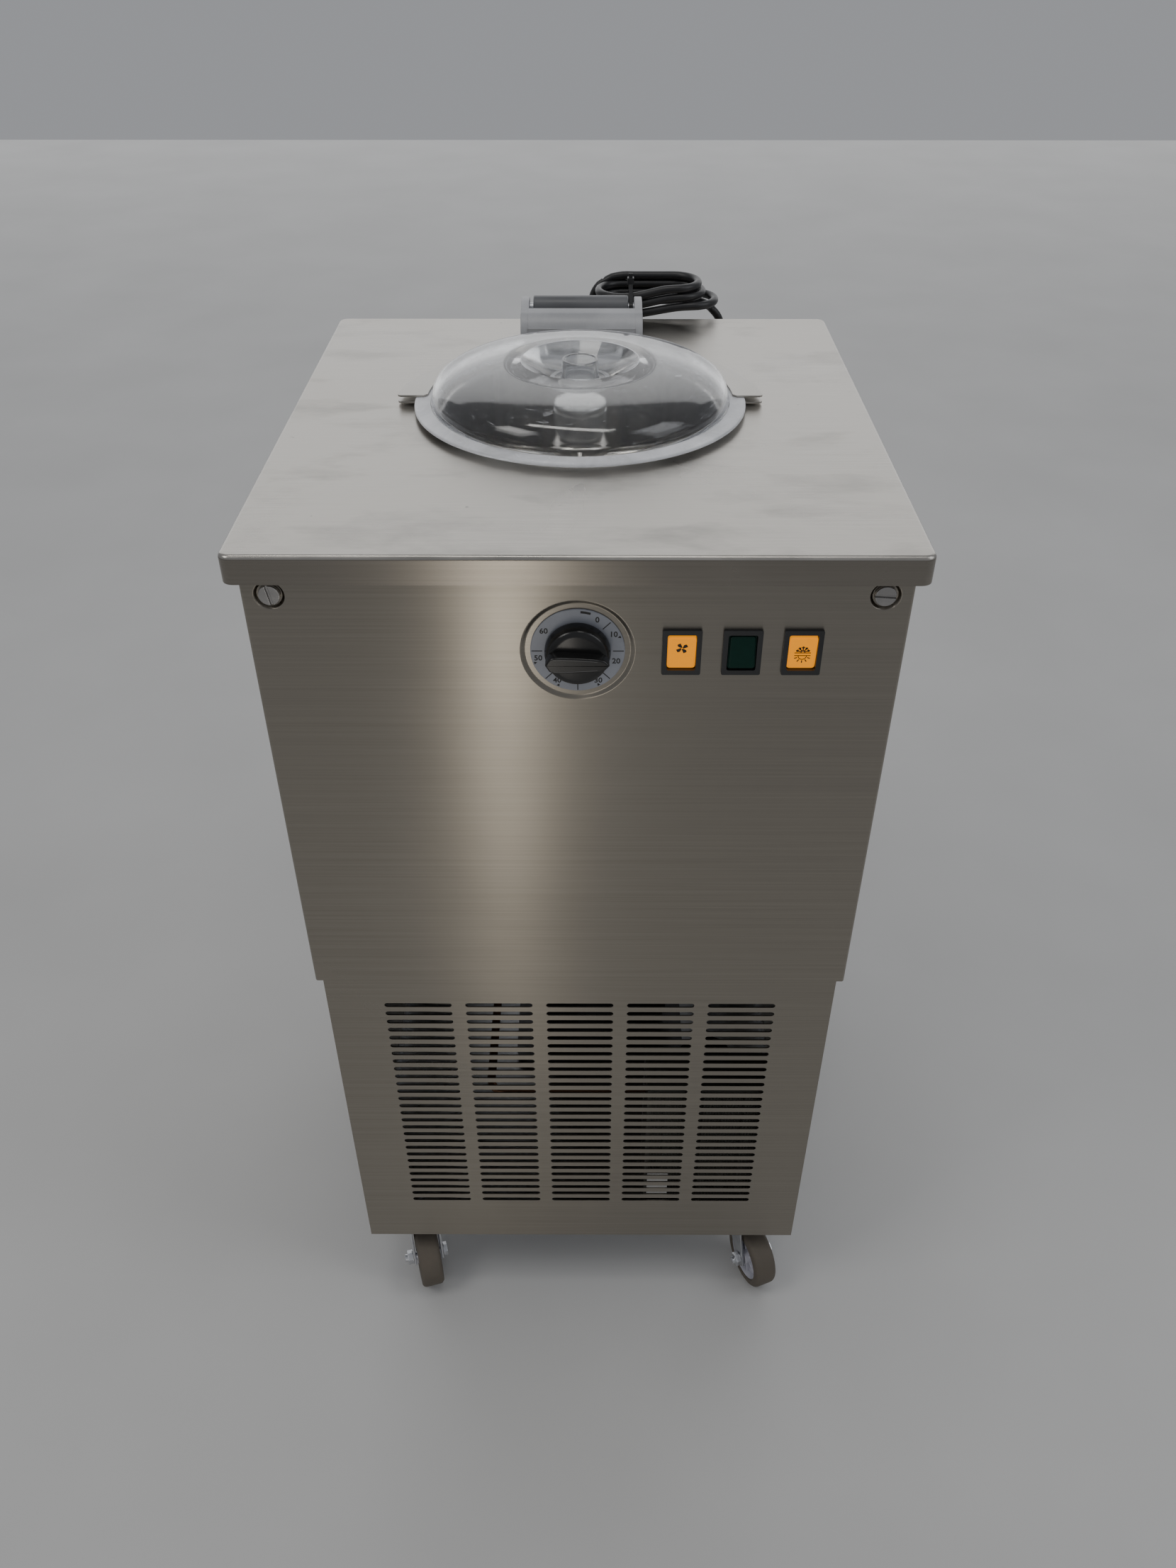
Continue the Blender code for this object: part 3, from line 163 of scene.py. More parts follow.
def coordinates(look, stretch):
    tree = look.node_tree
    source = tree.nodes.new("ShaderNodeTexCoord")
    mapping = tree.nodes.new("ShaderNodeMapping")
    mapping.inputs["Scale"].default_value = stretch
    tree.links.new(source.outputs["Object"], mapping.inputs["Vector"])
    return mapping.outputs["Vector"]


def noise_value(look, scale, stretch=(1, 1, 1), detail=3.0, rough=0.5, distortion=0.0):
    texture = look.node_tree.nodes.new("ShaderNodeTexNoise")
    texture.inputs["Scale"].default_value = scale
    texture.inputs["Detail"].default_value = detail
    texture.inputs["Roughness"].default_value = rough
    texture.inputs["Distortion"].default_value = distortion
    look.node_tree.links.new(coordinates(look, stretch), texture.inputs["Vector"])
    return texture.outputs["Fac"]


def ranged(look, value, low, high, start=0.3, end=0.7):
    node = look.node_tree.nodes.new("ShaderNodeMapRange")
    node.inputs["From Min"].default_value = start
    node.inputs["From Max"].default_value = end
    node.inputs["To Min"].default_value = low
    node.inputs["To Max"].default_value = high
    look.node_tree.links.new(value, node.inputs["Value"])
    return node.outputs["Result"]


def mixed(look, value, first, second, start=0.3, end=0.7):
    """A colour between two, each a colour or another node's output."""
    node = look.node_tree.nodes.new("ShaderNodeMix")
    node.data_type = "RGBA"
    look.node_tree.links.new(ranged(look, value, 0.0, 1.0, start, end), node.inputs[0])
    for socket, colour in ((node.inputs[6], first), (node.inputs[7], second)):
        if isinstance(colour, tuple):
            socket.default_value = (*colour, 1.0)
        else:
            look.node_tree.links.new(colour, socket)
    return node.outputs[2]


def tint(look, value, first, second, start=0.3, end=0.7):
    colour = mixed(look, value, first, second, start, end)
    look.node_tree.links.new(colour, shader_of(look).inputs["Base Color"])


def roughen(look, value, low, high, start=0.3, end=0.7):
    look.node_tree.links.new(ranged(look, value, low, high, start, end), shader_of(look).inputs["Roughness"])


def raise_bumps(look, value, strength, distance=0.001):
    node = look.node_tree.nodes.new("ShaderNodeBump")
    node.inputs["Strength"].default_value = strength
    node.inputs["Distance"].default_value = distance
    look.node_tree.links.new(value, node.inputs["Height"])
    look.node_tree.links.new(node.outputs["Normal"], shader_of(look).inputs["Normal"])


def shade(colour, factor):
    return tuple(min(1.0, c * factor) for c in colour)


def brushed(name, colour, roughness, grain, anisotropic=0.0, stretch_turn=0.25, patch=3.0, spread=0.10):
    """Brushed sheet steel: fine lines along its grain, and broad smears from wiping."""
    look = surface(name, colour, roughness, 1.0, Anisotropic=anisotropic, Anisotropic_Rotation=stretch_turn)
    lines = noise_value(look, 1.0, grain, detail=2.0, rough=0.6)
    smears = noise_value(look, patch, (1, 1, 1), detail=5.0, rough=0.55, distortion=0.8)
    fine = mixed(look, lines, shade(colour, 0.93), shade(colour, 1.07))
    tint(look, smears, fine, shade(colour, 1.10), 0.45, 0.80)
    roughen(look, smears, roughness * (1 - spread), roughness * (1 + spread))
    raise_bumps(look, lines, 0.05, 0.0004)
    return look


def wiped(name, colour, roughness):
    """Sheet steel with cloudy swirls from wiping, faint grain and small dark flecks."""
    look = surface(name, colour, roughness, 1.0)
    grain = noise_value(look, 1.0, (14.0, 420.0, 420.0), detail=2.0, rough=0.6)
    swirls = noise_value(look, 5.5, detail=4.0, rough=0.60, distortion=1.0)
    veils = noise_value(look, 11.0, (1.0, 2.2, 1.0), detail=5.0, rough=0.60, distortion=0.15)
    flecks = noise_value(look, 55.0, detail=2.0, rough=0.5)
    fine = mixed(look, grain, shade(colour, 0.94), shade(colour, 1.05))
    cloudy = mixed(look, swirls, fine, shade(colour, 1.28), 0.40, 0.66)
    veiled = mixed(look, veils, cloudy, shade(colour, 0.74), 0.52, 0.80)
    tint(look, flecks, veiled, shade(colour, 0.45), 0.755, 0.79)
    roughen(look, swirls, roughness * 0.72, roughness * 1.35, 0.35, 0.70)
    raise_bumps(look, grain, 0.05, 0.0004)
    return look


def moulded(name, colour, roughness, bumps=0.10, scale=900.0):
    """Moulded plastic with a faint grain and slight wear."""
    look = surface(name, colour, roughness)
    grain = noise_value(look, scale, detail=2.0)
    wear = noise_value(look, 25.0, detail=5.0, rough=0.6)
    tint(look, wear, shade(colour, 0.9), tuple(min(1.0, c * 1.15 + 0.004) for c in colour), 0.4, 0.75)
    roughen(look, wear, roughness * 0.85, roughness * 1.15)
    raise_bumps(look, grain, bumps, 0.0002)
    return look


def metal(name, colour, roughness, scale=60.0, bumps=0.04, spread=0.2):
    """Bare or plated metal with a cloudy finish."""
    look = surface(name, colour, roughness, 1.0)
    clouds = noise_value(look, scale, detail=4.0, rough=0.6)
    tint(look, clouds, shade(colour, 0.88), shade(colour, 1.08))
    roughen(look, clouds, roughness * (1 - spread), roughness * (1 + spread))
    raise_bumps(look, noise_value(look, scale * 12, detail=2.0), bumps, 0.0003)
    return look


def clear_plastic(name, haze, grazing, scratches):
    """Clear moulded plastic, hazier at grazing angles, with fine scratches and wiped smears."""
    look = surface(name, (0.96, 0.97, 0.98), 0.04, 0.0, IOR=1.49, Transmission_Weight=1.0)
    tree = look.node_tree
    shader = shader_of(look)
    fine = noise_value(look, 60.0, (1.0, 1.0, 7.0), detail=6.0, rough=0.7, distortion=1.5)
    smears = noise_value(look, 14.0, detail=5.0, rough=0.6, distortion=0.6)
    roughen(look, fine, 0.045, 0.20, 0.45, 0.85)
    raise_bumps(look, fine, 0.03, 0.0003)
    milk = tree.nodes.new("ShaderNodeBsdfDiffuse")
    milk.inputs["Color"].default_value = (0.86, 0.87, 0.90, 1.0)
    facing = tree.nodes.new("ShaderNodeLayerWeight")
    facing.inputs["Blend"].default_value = 0.35
    edge = ranged(look, facing.outputs["Facing"], haze, haze + grazing, 0.50, 0.95)
    specks = ranged(look, fine, 0.0, scratches, 0.60, 0.72)
    cloud = ranged(look, smears, 0.6, 1.4, 0.3, 0.7)
    scaled = tree.nodes.new("ShaderNodeMath")
    scaled.operation = "MULTIPLY"
    tree.links.new(edge, scaled.inputs[0])
    tree.links.new(cloud, scaled.inputs[1])
    total = tree.nodes.new("ShaderNodeMath")
    total.operation = "ADD"
    total.use_clamp = True
    tree.links.new(scaled.outputs[0], total.inputs[0])
    tree.links.new(specks, total.inputs[1])
    mix = tree.nodes.new("ShaderNodeMixShader")
    tree.links.new(total.outputs[0], mix.inputs["Fac"])
    tree.links.new(shader.outputs[0], mix.inputs[1])
    tree.links.new(milk.outputs[0], mix.inputs[2])
    output = tree.nodes["Material Output"]
    tree.links.new(mix.outputs[0], output.inputs["Surface"])
    return look


def lit_lens(name, colour, glow):
    """A translucent switch lens, glowing evenly from its lamp when glow is given."""
    look = surface(name, colour, 0.30, 0.0, Specular_IOR_Level=0.2)
    cloud = noise_value(look, 220.0, detail=2.0)
    tint(look, cloud, shade(colour, 0.92), shade(colour, 1.05))
    raise_bumps(look, cloud, 0.03, 0.0003)
    if glow:
        shader_of(look).inputs["Emission Color"].default_value = (*shade(colour, 1.7), 1.0)
        shader_of(look).inputs["Emission Strength"].default_value = glow
    return look


STEEL = (0.305, 0.280, 0.240)
PALE_STEEL = (0.43, 0.412, 0.38)
LOOKS = {
    "cabinet_steel": brushed("cabinet_steel", STEEL, 0.31, (5.0, 700.0, 700.0), 0.88, spread=0.16),
    "side_steel": brushed("side_steel", STEEL, 0.36, (700.0, 5.0, 700.0), 0.7),
    "worktop_steel": wiped("worktop_steel", PALE_STEEL, 0.33),
    # a darker copy of the worktop steel for its upright faces: painted shade on the lip
    "lip_painted_shade_steel": brushed("lip_painted_shade_steel", (0.265, 0.243, 0.212), 0.26, (5.0, 500.0, 500.0), 0.4, spread=0.25),
    "polished_steel": metal("polished_steel", (0.63, 0.615, 0.59), 0.13, 35.0, 0.02, 0.35),
    "zinc_steel": metal("zinc_steel", (0.62, 0.63, 0.65), 0.34, 80.0, 0.06),
    "cast_grey": moulded("cast_grey", (0.36, 0.365, 0.38), 0.38, 0.22, 700.0),
    "barrel_grey": moulded("barrel_grey", (0.10, 0.103, 0.110), 0.42, 0.20, 700.0),
    "black_plastic": moulded("black_plastic", (0.016, 0.016, 0.017), 0.36, 0.08),
    "knob_black": moulded("knob_black", (0.010, 0.010, 0.010), 0.24, 0.05),
    "bezel_black": moulded("bezel_black", (0.020, 0.021, 0.023), 0.48, 0.12),
    "mark_black": moulded("mark_black", (0.012, 0.011, 0.010), 0.50, 0.0),
    "dial_white": moulded("dial_white", (0.29, 0.305, 0.345), 0.33, 0.04, 300.0),
    "cord_rubber": moulded("cord_rubber", (0.014, 0.014, 0.015), 0.38, 0.10, 500.0),
    "tyre_rubber": moulded("tyre_rubber", (0.115, 0.098, 0.078), 0.74, 0.45, 160.0),
    "hub_plastic": moulded("hub_plastic", (0.50, 0.50, 0.56), 0.42, 0.06, 300.0),
    "black_enamel": moulded("black_enamel", (0.014, 0.014, 0.015), 0.50, 0.10, 120.0),
    "copper_tube": metal("copper_tube", (0.30, 0.16, 0.10), 0.42, 50.0),
    "bronze_bush": metal("bronze_bush", (0.48, 0.33, 0.18), 0.40, 90.0),
    # aluminium and zinc darkened far below their own tone: painted shade for the dim inside behind the slots
    "aluminium_painted_shade": metal("aluminium_painted_shade", (0.13, 0.13, 0.12), 0.55, 70.0, 0.08),
    "zinc_painted_shade": metal("zinc_painted_shade", (0.20, 0.20, 0.21), 0.50, 60.0, 0.08),
    "foam": moulded("foam", (0.66, 0.58, 0.38), 0.90, 0.60, 350.0),
    "line_grey": moulded("line_grey", (0.16, 0.16, 0.16), 0.45, 0.0),
    "label_white": moulded("label_white", (0.80, 0.80, 0.79), 0.55, 0.02, 300.0),
    "amber_lens": lit_lens("amber_lens", (0.50, 0.17, 0.0), 0.95),
    "green_lens": lit_lens("green_lens", (0.001, 0.026, 0.018), 0.0),
    "dome_plastic": clear_plastic("dome_plastic", 0.012, 0.34, 0.45),
    "plug_plastic": clear_plastic("plug_plastic", 0.08, 0.30, 0.30),
    "frosted_plastic": clear_plastic("frosted_plastic", 0.74, 0.20, 0.20),
    "cone_plastic": clear_plastic("cone_plastic", 0.02, 0.80, 0.15),
    "carrier_steel": metal("carrier_steel", (0.44, 0.425, 0.395), 0.30, 30.0, 0.02, 0.30),
    # colour raised above polished steel to stand in for light falling on the nut: painted sheen
    "nut_steel": metal("nut_steel", (0.86, 0.85, 0.82), 0.42, 90.0, 0.05),
    "paddle_steel": metal("paddle_steel", (0.78, 0.74, 0.68), 0.40, 60.0, 0.05),
    "screw_steel": metal("screw_steel", (0.38, 0.37, 0.36), 0.26, 60.0, 0.03),
}


# Shapes


def from_bmesh(bm):
    mesh = bpy.data.meshes.new("shape")
    bm.to_mesh(mesh)
    bm.free()
    obj = bpy.data.objects.new("shape", mesh)
    bpy.context.scene.collection.objects.link(obj)
    return obj


def block(low, high, radius=0.0, segments=3):
    """A box between two corners with all its edges rounded."""
    low = Vector(low)
    high = Vector(high)
    bm = bmesh.new()
    bmesh.ops.create_cube(bm, size=1.0)
    bmesh.ops.scale(bm, vec=high - low, verts=bm.verts)
    bmesh.ops.translate(bm, vec=(low + high) / 2, verts=bm.verts)
    if radius:
        bmesh.ops.bevel(bm, geom=bm.edges[:], offset=radius, segments=segments, profile=0.5, affect="EDGES")
    return from_bmesh(bm)


AXES = {
    "Z": Matrix.Identity(4),
    "Y": rotation(90, "X"),
    "X": rotation(90, "Y"),
}


def lathe(profile, steps=64, centre=(0, 0, 0), axis="Z", wobble=None):
    """A turned shape. axis Y points its height at the front. wobble(angle, radius, height) moves a ring."""
    bm = bmesh.new()
    rings = []
    for radius, height in profile:
        if radius < 0.000001:
            rings.append([bm.verts.new((0.0, 0.0, height))])
            continue
        ring = []
        for i in range(steps):
            angle = 2 * math.pi * i / steps
            r = wobble(angle, radius, height) if wobble else radius
            ring.append(bm.verts.new((r * math.cos(angle), r * math.sin(angle), height)))
        rings.append(ring)
    pairs = list(zip(rings, rings[1:]))
    if len(rings[0]) > 1 and len(rings[-1]) > 1:
        pairs.append((rings[-1], rings[0]))
    for first, second in pairs:
        for i in range(steps):
            j = (i + 1) % steps
            corners = [first[i % len(first)], first[j % len(first)],
                       second[j % len(second)], second[i % len(second)]]
            face = [v for k, v in enumerate(corners) if v not in corners[:k]]
            bm.faces.new(face)
    bmesh.ops.recalc_face_normals(bm, faces=bm.faces)
    bmesh.ops.transform(bm, matrix=Matrix.Translation(centre) @ AXES[axis], verts=bm.verts)
    return from_bmesh(bm)


PLANES = {
    "XY": Matrix.Identity(4),
    "XZ": rotation(90, "X") @ Matrix.Diagonal((1, 1, -1, 1)),
    "YZ": Matrix(((0, 0, 1, 0), (1, 0, 0, 0), (0, 1, 0, 0), (0, 0, 0, 1))),
}


def prism(outline, low, high, plane="XY", bevel=0.0, segments=2):
    """A flat outline drawn out between two heights over its plane, with its rims rounded."""
    bm = bmesh.new()
    base = bm.faces.new([bm.verts.new((x, y, low)) for x, y in outline])
    made = bmesh.ops.extrude_face_region(bm, geom=[base])
    top = [v for v in made["geom"] if isinstance(v, bmesh.types.BMVert)]
    bmesh.ops.translate(bm, vec=(0, 0, high - low), verts=top)
    if bevel:
        rims = [e for e in bm.edges if abs(e.verts[0].co.z - e.verts[1].co.z) < 0.000001]
        bmesh.ops.bevel(bm, geom=rims, offset=bevel, segments=segments, profile=0.5, affect="EDGES")
    bmesh.ops.transform(bm, matrix=PLANES[plane], verts=bm.verts)
    bmesh.ops.recalc_face_normals(bm, faces=bm.faces)
    return from_bmesh(bm)


def curve_mesh(curve):
    """The mesh of a curve, welded. The curve is removed."""
    obj = bpy.data.objects.new("curve", curve)
    bpy.context.scene.collection.objects.link(obj)
    bpy.context.view_layer.update()
    mesh = bpy.data.meshes.new_from_object(obj.evaluated_get(bpy.context.evaluated_depsgraph_get()))
    bpy.data.objects.remove(obj, do_unlink=True)
    bm = bmesh.new()
    bm.from_mesh(mesh)
    bmesh.ops.remove_doubles(bm, verts=bm.verts, dist=0.0000005)
    return bm


def flat(outlines, plane="XY", height=0.0):
    """A flat face with holes, as a bmesh: the first outline less the others."""
    curve = bpy.data.curves.new("outline", "CURVE")
    curve.dimensions = "2D"
    curve.fill_mode = "BOTH"
    for outline in outlines:
        spline = curve.splines.new("POLY")
        spline.points.add(len(outline) - 1)
        for point, (x, y) in zip(spline.points, outline):
            point.co = (x, y, 0.0, 1.0)
        spline.use_cyclic_u = True
    bm = curve_mesh(curve)
    bmesh.ops.transform(bm, matrix=PLANES[plane] @ Matrix.Translation((0, 0, height)), verts=bm.verts)
    return bm


def thicken(bm, thickness, outward):
    """A sheet of the given thickness from an open surface whose outer side faces outward."""
    bmesh.ops.remove_doubles(bm, verts=bm.verts, dist=0.00002)
    bmesh.ops.recalc_face_normals(bm, faces=bm.faces)
    total = sum((f.normal * f.calc_area() for f in bm.faces), Vector())
    if total.dot(Vector(outward)) < 0:
        bmesh.ops.reverse_faces(bm, faces=bm.faces)
    obj = from_bmesh(bm)
    solid = obj.modifiers.new("sheet", "SOLIDIFY")
    solid.thickness = thickness
    solid.offset = -1.0
    return obj


def arc(centre_x, centre_y, radius, start, end, count):
    turns = [math.radians(start + (end - start) * i / count) for i in range(count + 1)]
    return [(centre_x + radius * math.cos(t), centre_y + radius * math.sin(t)) for t in turns]


def rounded(x0, y0, x1, y1, radius, count=6):
    """A rectangle's outline with round corners."""
    return (arc(x1 - radius, y1 - radius, radius, 0, 90, count)
            + arc(x0 + radius, y1 - radius, radius, 90, 180, count)
            + arc(x0 + radius, y0 + radius, radius, 180, 270, count)
            + arc(x1 - radius, y0 + radius, radius, 270, 360, count))


def circle(x, y, radius, count):
    return [(x + radius * math.cos(2 * math.pi * i / count), y + radius * math.sin(2 * math.pi * i / count))
            for i in range(count)]


def merged(first, *others):
    """Several objects' meshes as one object, at their places."""
    bm = bmesh.new()
    for obj in (first, *others):
        mesh = obj.data
        mesh.transform(obj.matrix_world)
        bm.from_mesh(mesh)
        bpy.data.objects.remove(obj, do_unlink=True)
    return from_bmesh(bm)


def moved(obj, matrix):
    obj.data.transform(matrix)
    return obj


def rounded_edges(obj, width, segments=2, angle=35.0):
    bevel = obj.modifiers.new("edges", "BEVEL")
    bevel.width = width
    bevel.segments = segments
    bevel.limit_method = "ANGLE"
    bevel.angle_limit = math.radians(angle)
    bevel.harden_normals = False
    return obj


def tube(points, radius, sides=4):
    """A round tube as a curve, along points."""
    curve = bpy.data.curves.new("tube", "CURVE")
    curve.dimensions = "3D"
    curve.bevel_depth = radius
    curve.bevel_resolution = sides
    curve.use_fill_caps = True
    spline = curve.splines.new("POLY")
    spline.points.add(len(points) - 1)
    for point, place_at in zip(spline.points, points):
        point.co = (*place_at, 1.0)
    obj = bpy.data.objects.new("tube", curve)
    bpy.context.scene.collection.objects.link(obj)
    return obj


def baked(obj):
    """The object with its modifiers made part of its mesh."""
    bpy.context.view_layer.update()
    mesh = bpy.data.meshes.new_from_object(obj.evaluated_get(bpy.context.evaluated_depsgraph_get()))
    obj.modifiers.clear()
    obj.data = mesh
    return obj


def piece(name, obj, body, look, replaced=(), smooth=35.0):
    """Names a shape, gives it its look and lets it ride on its body."""
    if obj.type == "MESH" and obj.modifiers:
        baked(obj)
    obj.name = name
    obj.data.name = name
    obj.data.materials.clear()
    obj.data.materials.append(LOOKS[look])
    if obj.type == "MESH":
        while obj.data.uv_layers:  # shapes made from curves come with a map
            obj.data.uv_layers.remove(obj.data.uv_layers[0])
        if smooth:
            obj.data.shade_smooth()
            obj.data.set_sharp_from_angle(angle=math.radians(smooth))
            flatten = obj.modifiers.new("flat_faces_stay_flat", "WEIGHTED_NORMAL")
            flatten.mode = "FACE_AREA"
            flatten.weight = 90
            flatten.keep_sharp = True
        else:
            obj.data.shade_flat()
    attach(obj, body)
    if replaced:
        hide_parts(*replaced)
    return obj


def dress(look, *nodes):
    """Gives CAD nodes that stay a finished material."""
    for node in nodes:
        obj = frame["nodes"][node]
        obj.data.materials.clear()
        obj.data.materials.append(LOOKS[look])


# Cabinet sheets


def make_worktop():
    low, high = TOP_LOW, TOP_HIGH
    bm = bmesh.new()
    bmesh.ops.create_cube(bm, size=1.0)
    bmesh.ops.scale(bm, vec=high - low, verts=bm.verts)
    bmesh.ops.translate(bm, vec=(low + high) / 2, verts=bm.verts)
    tall = (high.z - low.z) / 2
    upright = [e for e in bm.edges if abs((e.verts[0].co - e.verts[1].co).z) > tall]
    bmesh.ops.bevel(bm, geom=upright, offset=0.008, segments=8, profile=0.5, affect="EDGES")
    rim = [e for e in bm.edges if min(v.co.z for v in e.verts) > low.z + tall]
    bmesh.ops.bevel(bm, geom=rim, offset=0.0032, segments=5, profile=0.5, affect="EDGES")
    plate = from_bmesh(bm)
    wall = 0.0015
    bm = bmesh.new()
    bmesh.ops.create_cube(bm, size=1.0)
    size = Vector((high.x - low.x - 2 * wall, high.y - low.y - 2 * wall, high.z - low.z))
    bmesh.ops.scale(bm, vec=size, verts=bm.verts)
    bmesh.ops.translate(bm, vec=(low + high) / 2 - Vector((0, 0, wall)), verts=bm.verts)
    upright = [e for e in bm.edges if abs((e.verts[0].co - e.verts[1].co).z) > tall]
    bmesh.ops.bevel(bm, geom=upright, offset=0.0065, segments=6, profile=0.5, affect="EDGES")
    inside = from_bmesh(bm)
    mouth = lathe([(0, 0.02), (0.109, 0.02), (0.109, -0.03), (0, -0.03)], 96, (0, AXIS.y, TOP))
    for cutter in (inside, mouth):
        step = plate.modifiers.new("cut", "BOOLEAN")
        step.operation = "DIFFERENCE"
        step.solver = "EXACT"
        step.object = cutter
    bpy.context.view_layer.update()
    mesh = bpy.data.meshes.new_from_object(plate.evaluated_get(bpy.context.evaluated_depsgraph_get()))
    for old in (plate, inside, mouth):
        bpy.data.objects.remove(old, do_unlink=True)
    obj = bpy.data.objects.new("shape", mesh)
    bpy.context.scene.collection.objects.link(obj)
    piece("worktop", obj, "cabinet", "worktop_steel", ("top_plate",), smooth=25.0)
    # faces that stand upright get the darker steel: painted shade on the lip
    obj.data.materials.append(LOOKS["lip_painted_shade_steel"])
    for face in obj.data.polygons:
        if face.normal.z < 0.35:
            face.material_index = 1


def pressed_ring(bm, x, z, outer, inner, depth, bore, count):
    """Adds a pressed recess round a point of the cover: a soft step down, a flat floor and a bore."""
    steps = 8
    rings = []
    for i in range(steps + 1):
        t = i / steps
        rings.append((outer + (inner - outer) * t, depth * (3 * t * t - 2 * t ** 3)))
    rings.append((bore, depth))
    made = []
    for radius, back in rings:
        made.append([bm.verts.new((px, COVER_FRONT + back, pz)) for px, pz in circle(x, z, radius, count)])
    for first, second in zip(made, made[1:]):
        for i in range(count):
            j = (i + 1) % count
            bm.faces.new((first[i], first[j], second[j], second[i]))


def make_front_cover():
    bend = 0.0022
    x0, x1 = COVER_LOW.x, COVER_HIGH.x
    z0, z1 = COVER_LOW.z, COVER_HIGH.z
    screws = [(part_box(n)[0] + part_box(n)[1]) / 2 for n in ("panel_screw_left", "panel_screw_right")]
    outlines = [[(x0 + bend, z0), (x1 - bend, z0), (x1 - bend, z1), (x0 + bend, z1)]]
    outlines.append(circle(0.0, DIAL_Z, 0.0385, 96))
    for spot in screws:
        outlines.append(circle(spot.x, spot.z, 0.0105, 48))
    for name in ("fan", "power", "mode"):
        low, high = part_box("switch_body_" + name)
        outlines.append([(low.x + 0.002, low.z + 0.002), (high.x - 0.002, low.z + 0.002),
                         (high.x - 0.002, high.z - 0.002), (low.x + 0.002, high.z - 0.002)])
    bm = flat(outlines, "XZ", COVER_FRONT)
    for v in bm.verts:
        v.co.y = COVER_FRONT
    pressed_ring(bm, 0.0, DIAL_Z, 0.0385, 0.0350, 0.0015, 0.006, 96)
    for spot in screws:
        pressed_ring(bm, spot.x, spot.z, 0.0105, 0.0080, 0.0026, 0.0035, 48)
    for side, x in ((-1, x0), (1, x1)):
        path = [(x - side * bend, COVER_FRONT)]
        path += [(x - side * bend + side * bend * math.sin(math.radians(a)),
                  COVER_FRONT + bend - bend * math.cos(math.radians(a))) for a in (18, 36, 54, 72, 90)]
        path.append((x, COVER_HIGH.y))
        columns = [(bm.verts.new((px, py, z0)), bm.verts.new((px, py, z1))) for px, py in path]
        for first, second in zip(columns, columns[1:]):
            bm.faces.new((first[0], second[0], second[1], first[1]))
    obj = thicken(bm, SHEET, (0, -1, 0))
    piece("front_cover_sheet", obj, "cabinet", "cabinet_steel", ("front_cover",),
          smooth=30.0)


def slot_outline(x, z, length, height):
    radius = height / 2
    reach = length / 2 - radius
    return arc(x + reach, z, radius, -90, 90, 6) + arc(x - reach, z, radius, 90, 270, 6)


def make_grille():
    low, high = GRILLE_LOW, GRILLE_HIGH
    columns, rows = 5, 28
    pitch_x, pitch_z = 0.0679, 0.01029
    first_row = COVER_LOW.z - 0.0325
    outlines = [[(low.x, low.z), (high.x, low.z), (high.x, high.z), (low.x, high.z)]]
    for column in range(columns):
        for row in range(rows):
            x = (column - (columns - 1) / 2) * pitch_x
            outlines.append(slot_outline(x, first_row - row * pitch_z, 0.0565, 0.0048))
    bm = flat(outlines, "XZ")
    for v in bm.verts:
        v.co.y = low.y
    obj = thicken(bm, SHEET, (0, -1, 0))
    piece("grille_sheet", obj, "cabinet", "cabinet_steel", ("grille_panel",), smooth=30.0)


def make_side_panels():
    for name, side in (("side_panel_left", -1), ("side_panel_right", 1)):
        low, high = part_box(name)
        bend = 0.0018
        outer = high.x if side > 0 else -low.x
        inner = outer - 0.025
        front, rear = low.y, high.y
        path = [(inner, front), (outer - bend, front)]
        path += [(outer - bend + bend * math.sin(math.radians(a)),
                  front + bend - bend * math.cos(math.radians(a)))
                 for a in (18, 36, 54, 72, 90)]
        path += [(outer - bend + bend * math.cos(math.radians(a)),
                  rear - bend + bend * math.sin(math.radians(a)))
                 for a in (0, 18, 36, 54, 72, 90)]
        path.append((inner, rear))
        bm = bmesh.new()
        columns = [(bm.verts.new((side * x, y, low.z)), bm.verts.new((side * x, y, high.z))) for x, y in path]
        for first, second in zip(columns, columns[1:]):
            bm.faces.new((first[0], second[0], second[1], first[1]))
        obj = thicken(bm, SHEET, (side, 0, 0))
        piece(name + "_sheet", obj, "cabinet", "side_steel", (name,), smooth=30.0)


def make_rear_panel():
    low, high = REAR_LOW, REAR_HIGH
    outlines = [[(low.x, low.z), (high.x, low.z), (high.x, high.z), (low.x, high.z)]]
    for row in range(8):
        for x in (-0.085, 0.085):
            outlines.append(slot_outline(x, 0.240 + row * 0.020, 0.110, 0.008))
    gland = (GLAND_LOW + GLAND_HIGH) / 2
    outlines.append(circle(gland.x, gland.z, 0.0083, 32))
    bm = flat(outlines, "XZ")
    for v in bm.verts:
        v.co.y = high.y
    obj = thicken(bm, SHEET, (0, 1, 0))
    piece("rear_panel_sheet", obj, "cabinet", "cabinet_steel", ("rear_panel",), smooth=30.0)
    head = [(0.0, 0.0022), (0.0020, 0.0020), (0.0034, 0.0012), (0.0040, 0.0), (0.0, 0.0)]
    heads = []
    for x in (low.x + 0.012, high.x - 0.012):
        for z in (low.z + 0.06, (low.z + high.z) / 2, high.z - 0.06):
            turned = lathe([(r, -h) for r, h in head], 24, (x, high.y, z), "Y")
            heads.append(turned)
    piece("rear_panel_screws", merged(*heads), "cabinet", "zinc_steel")


# Bowl and drive


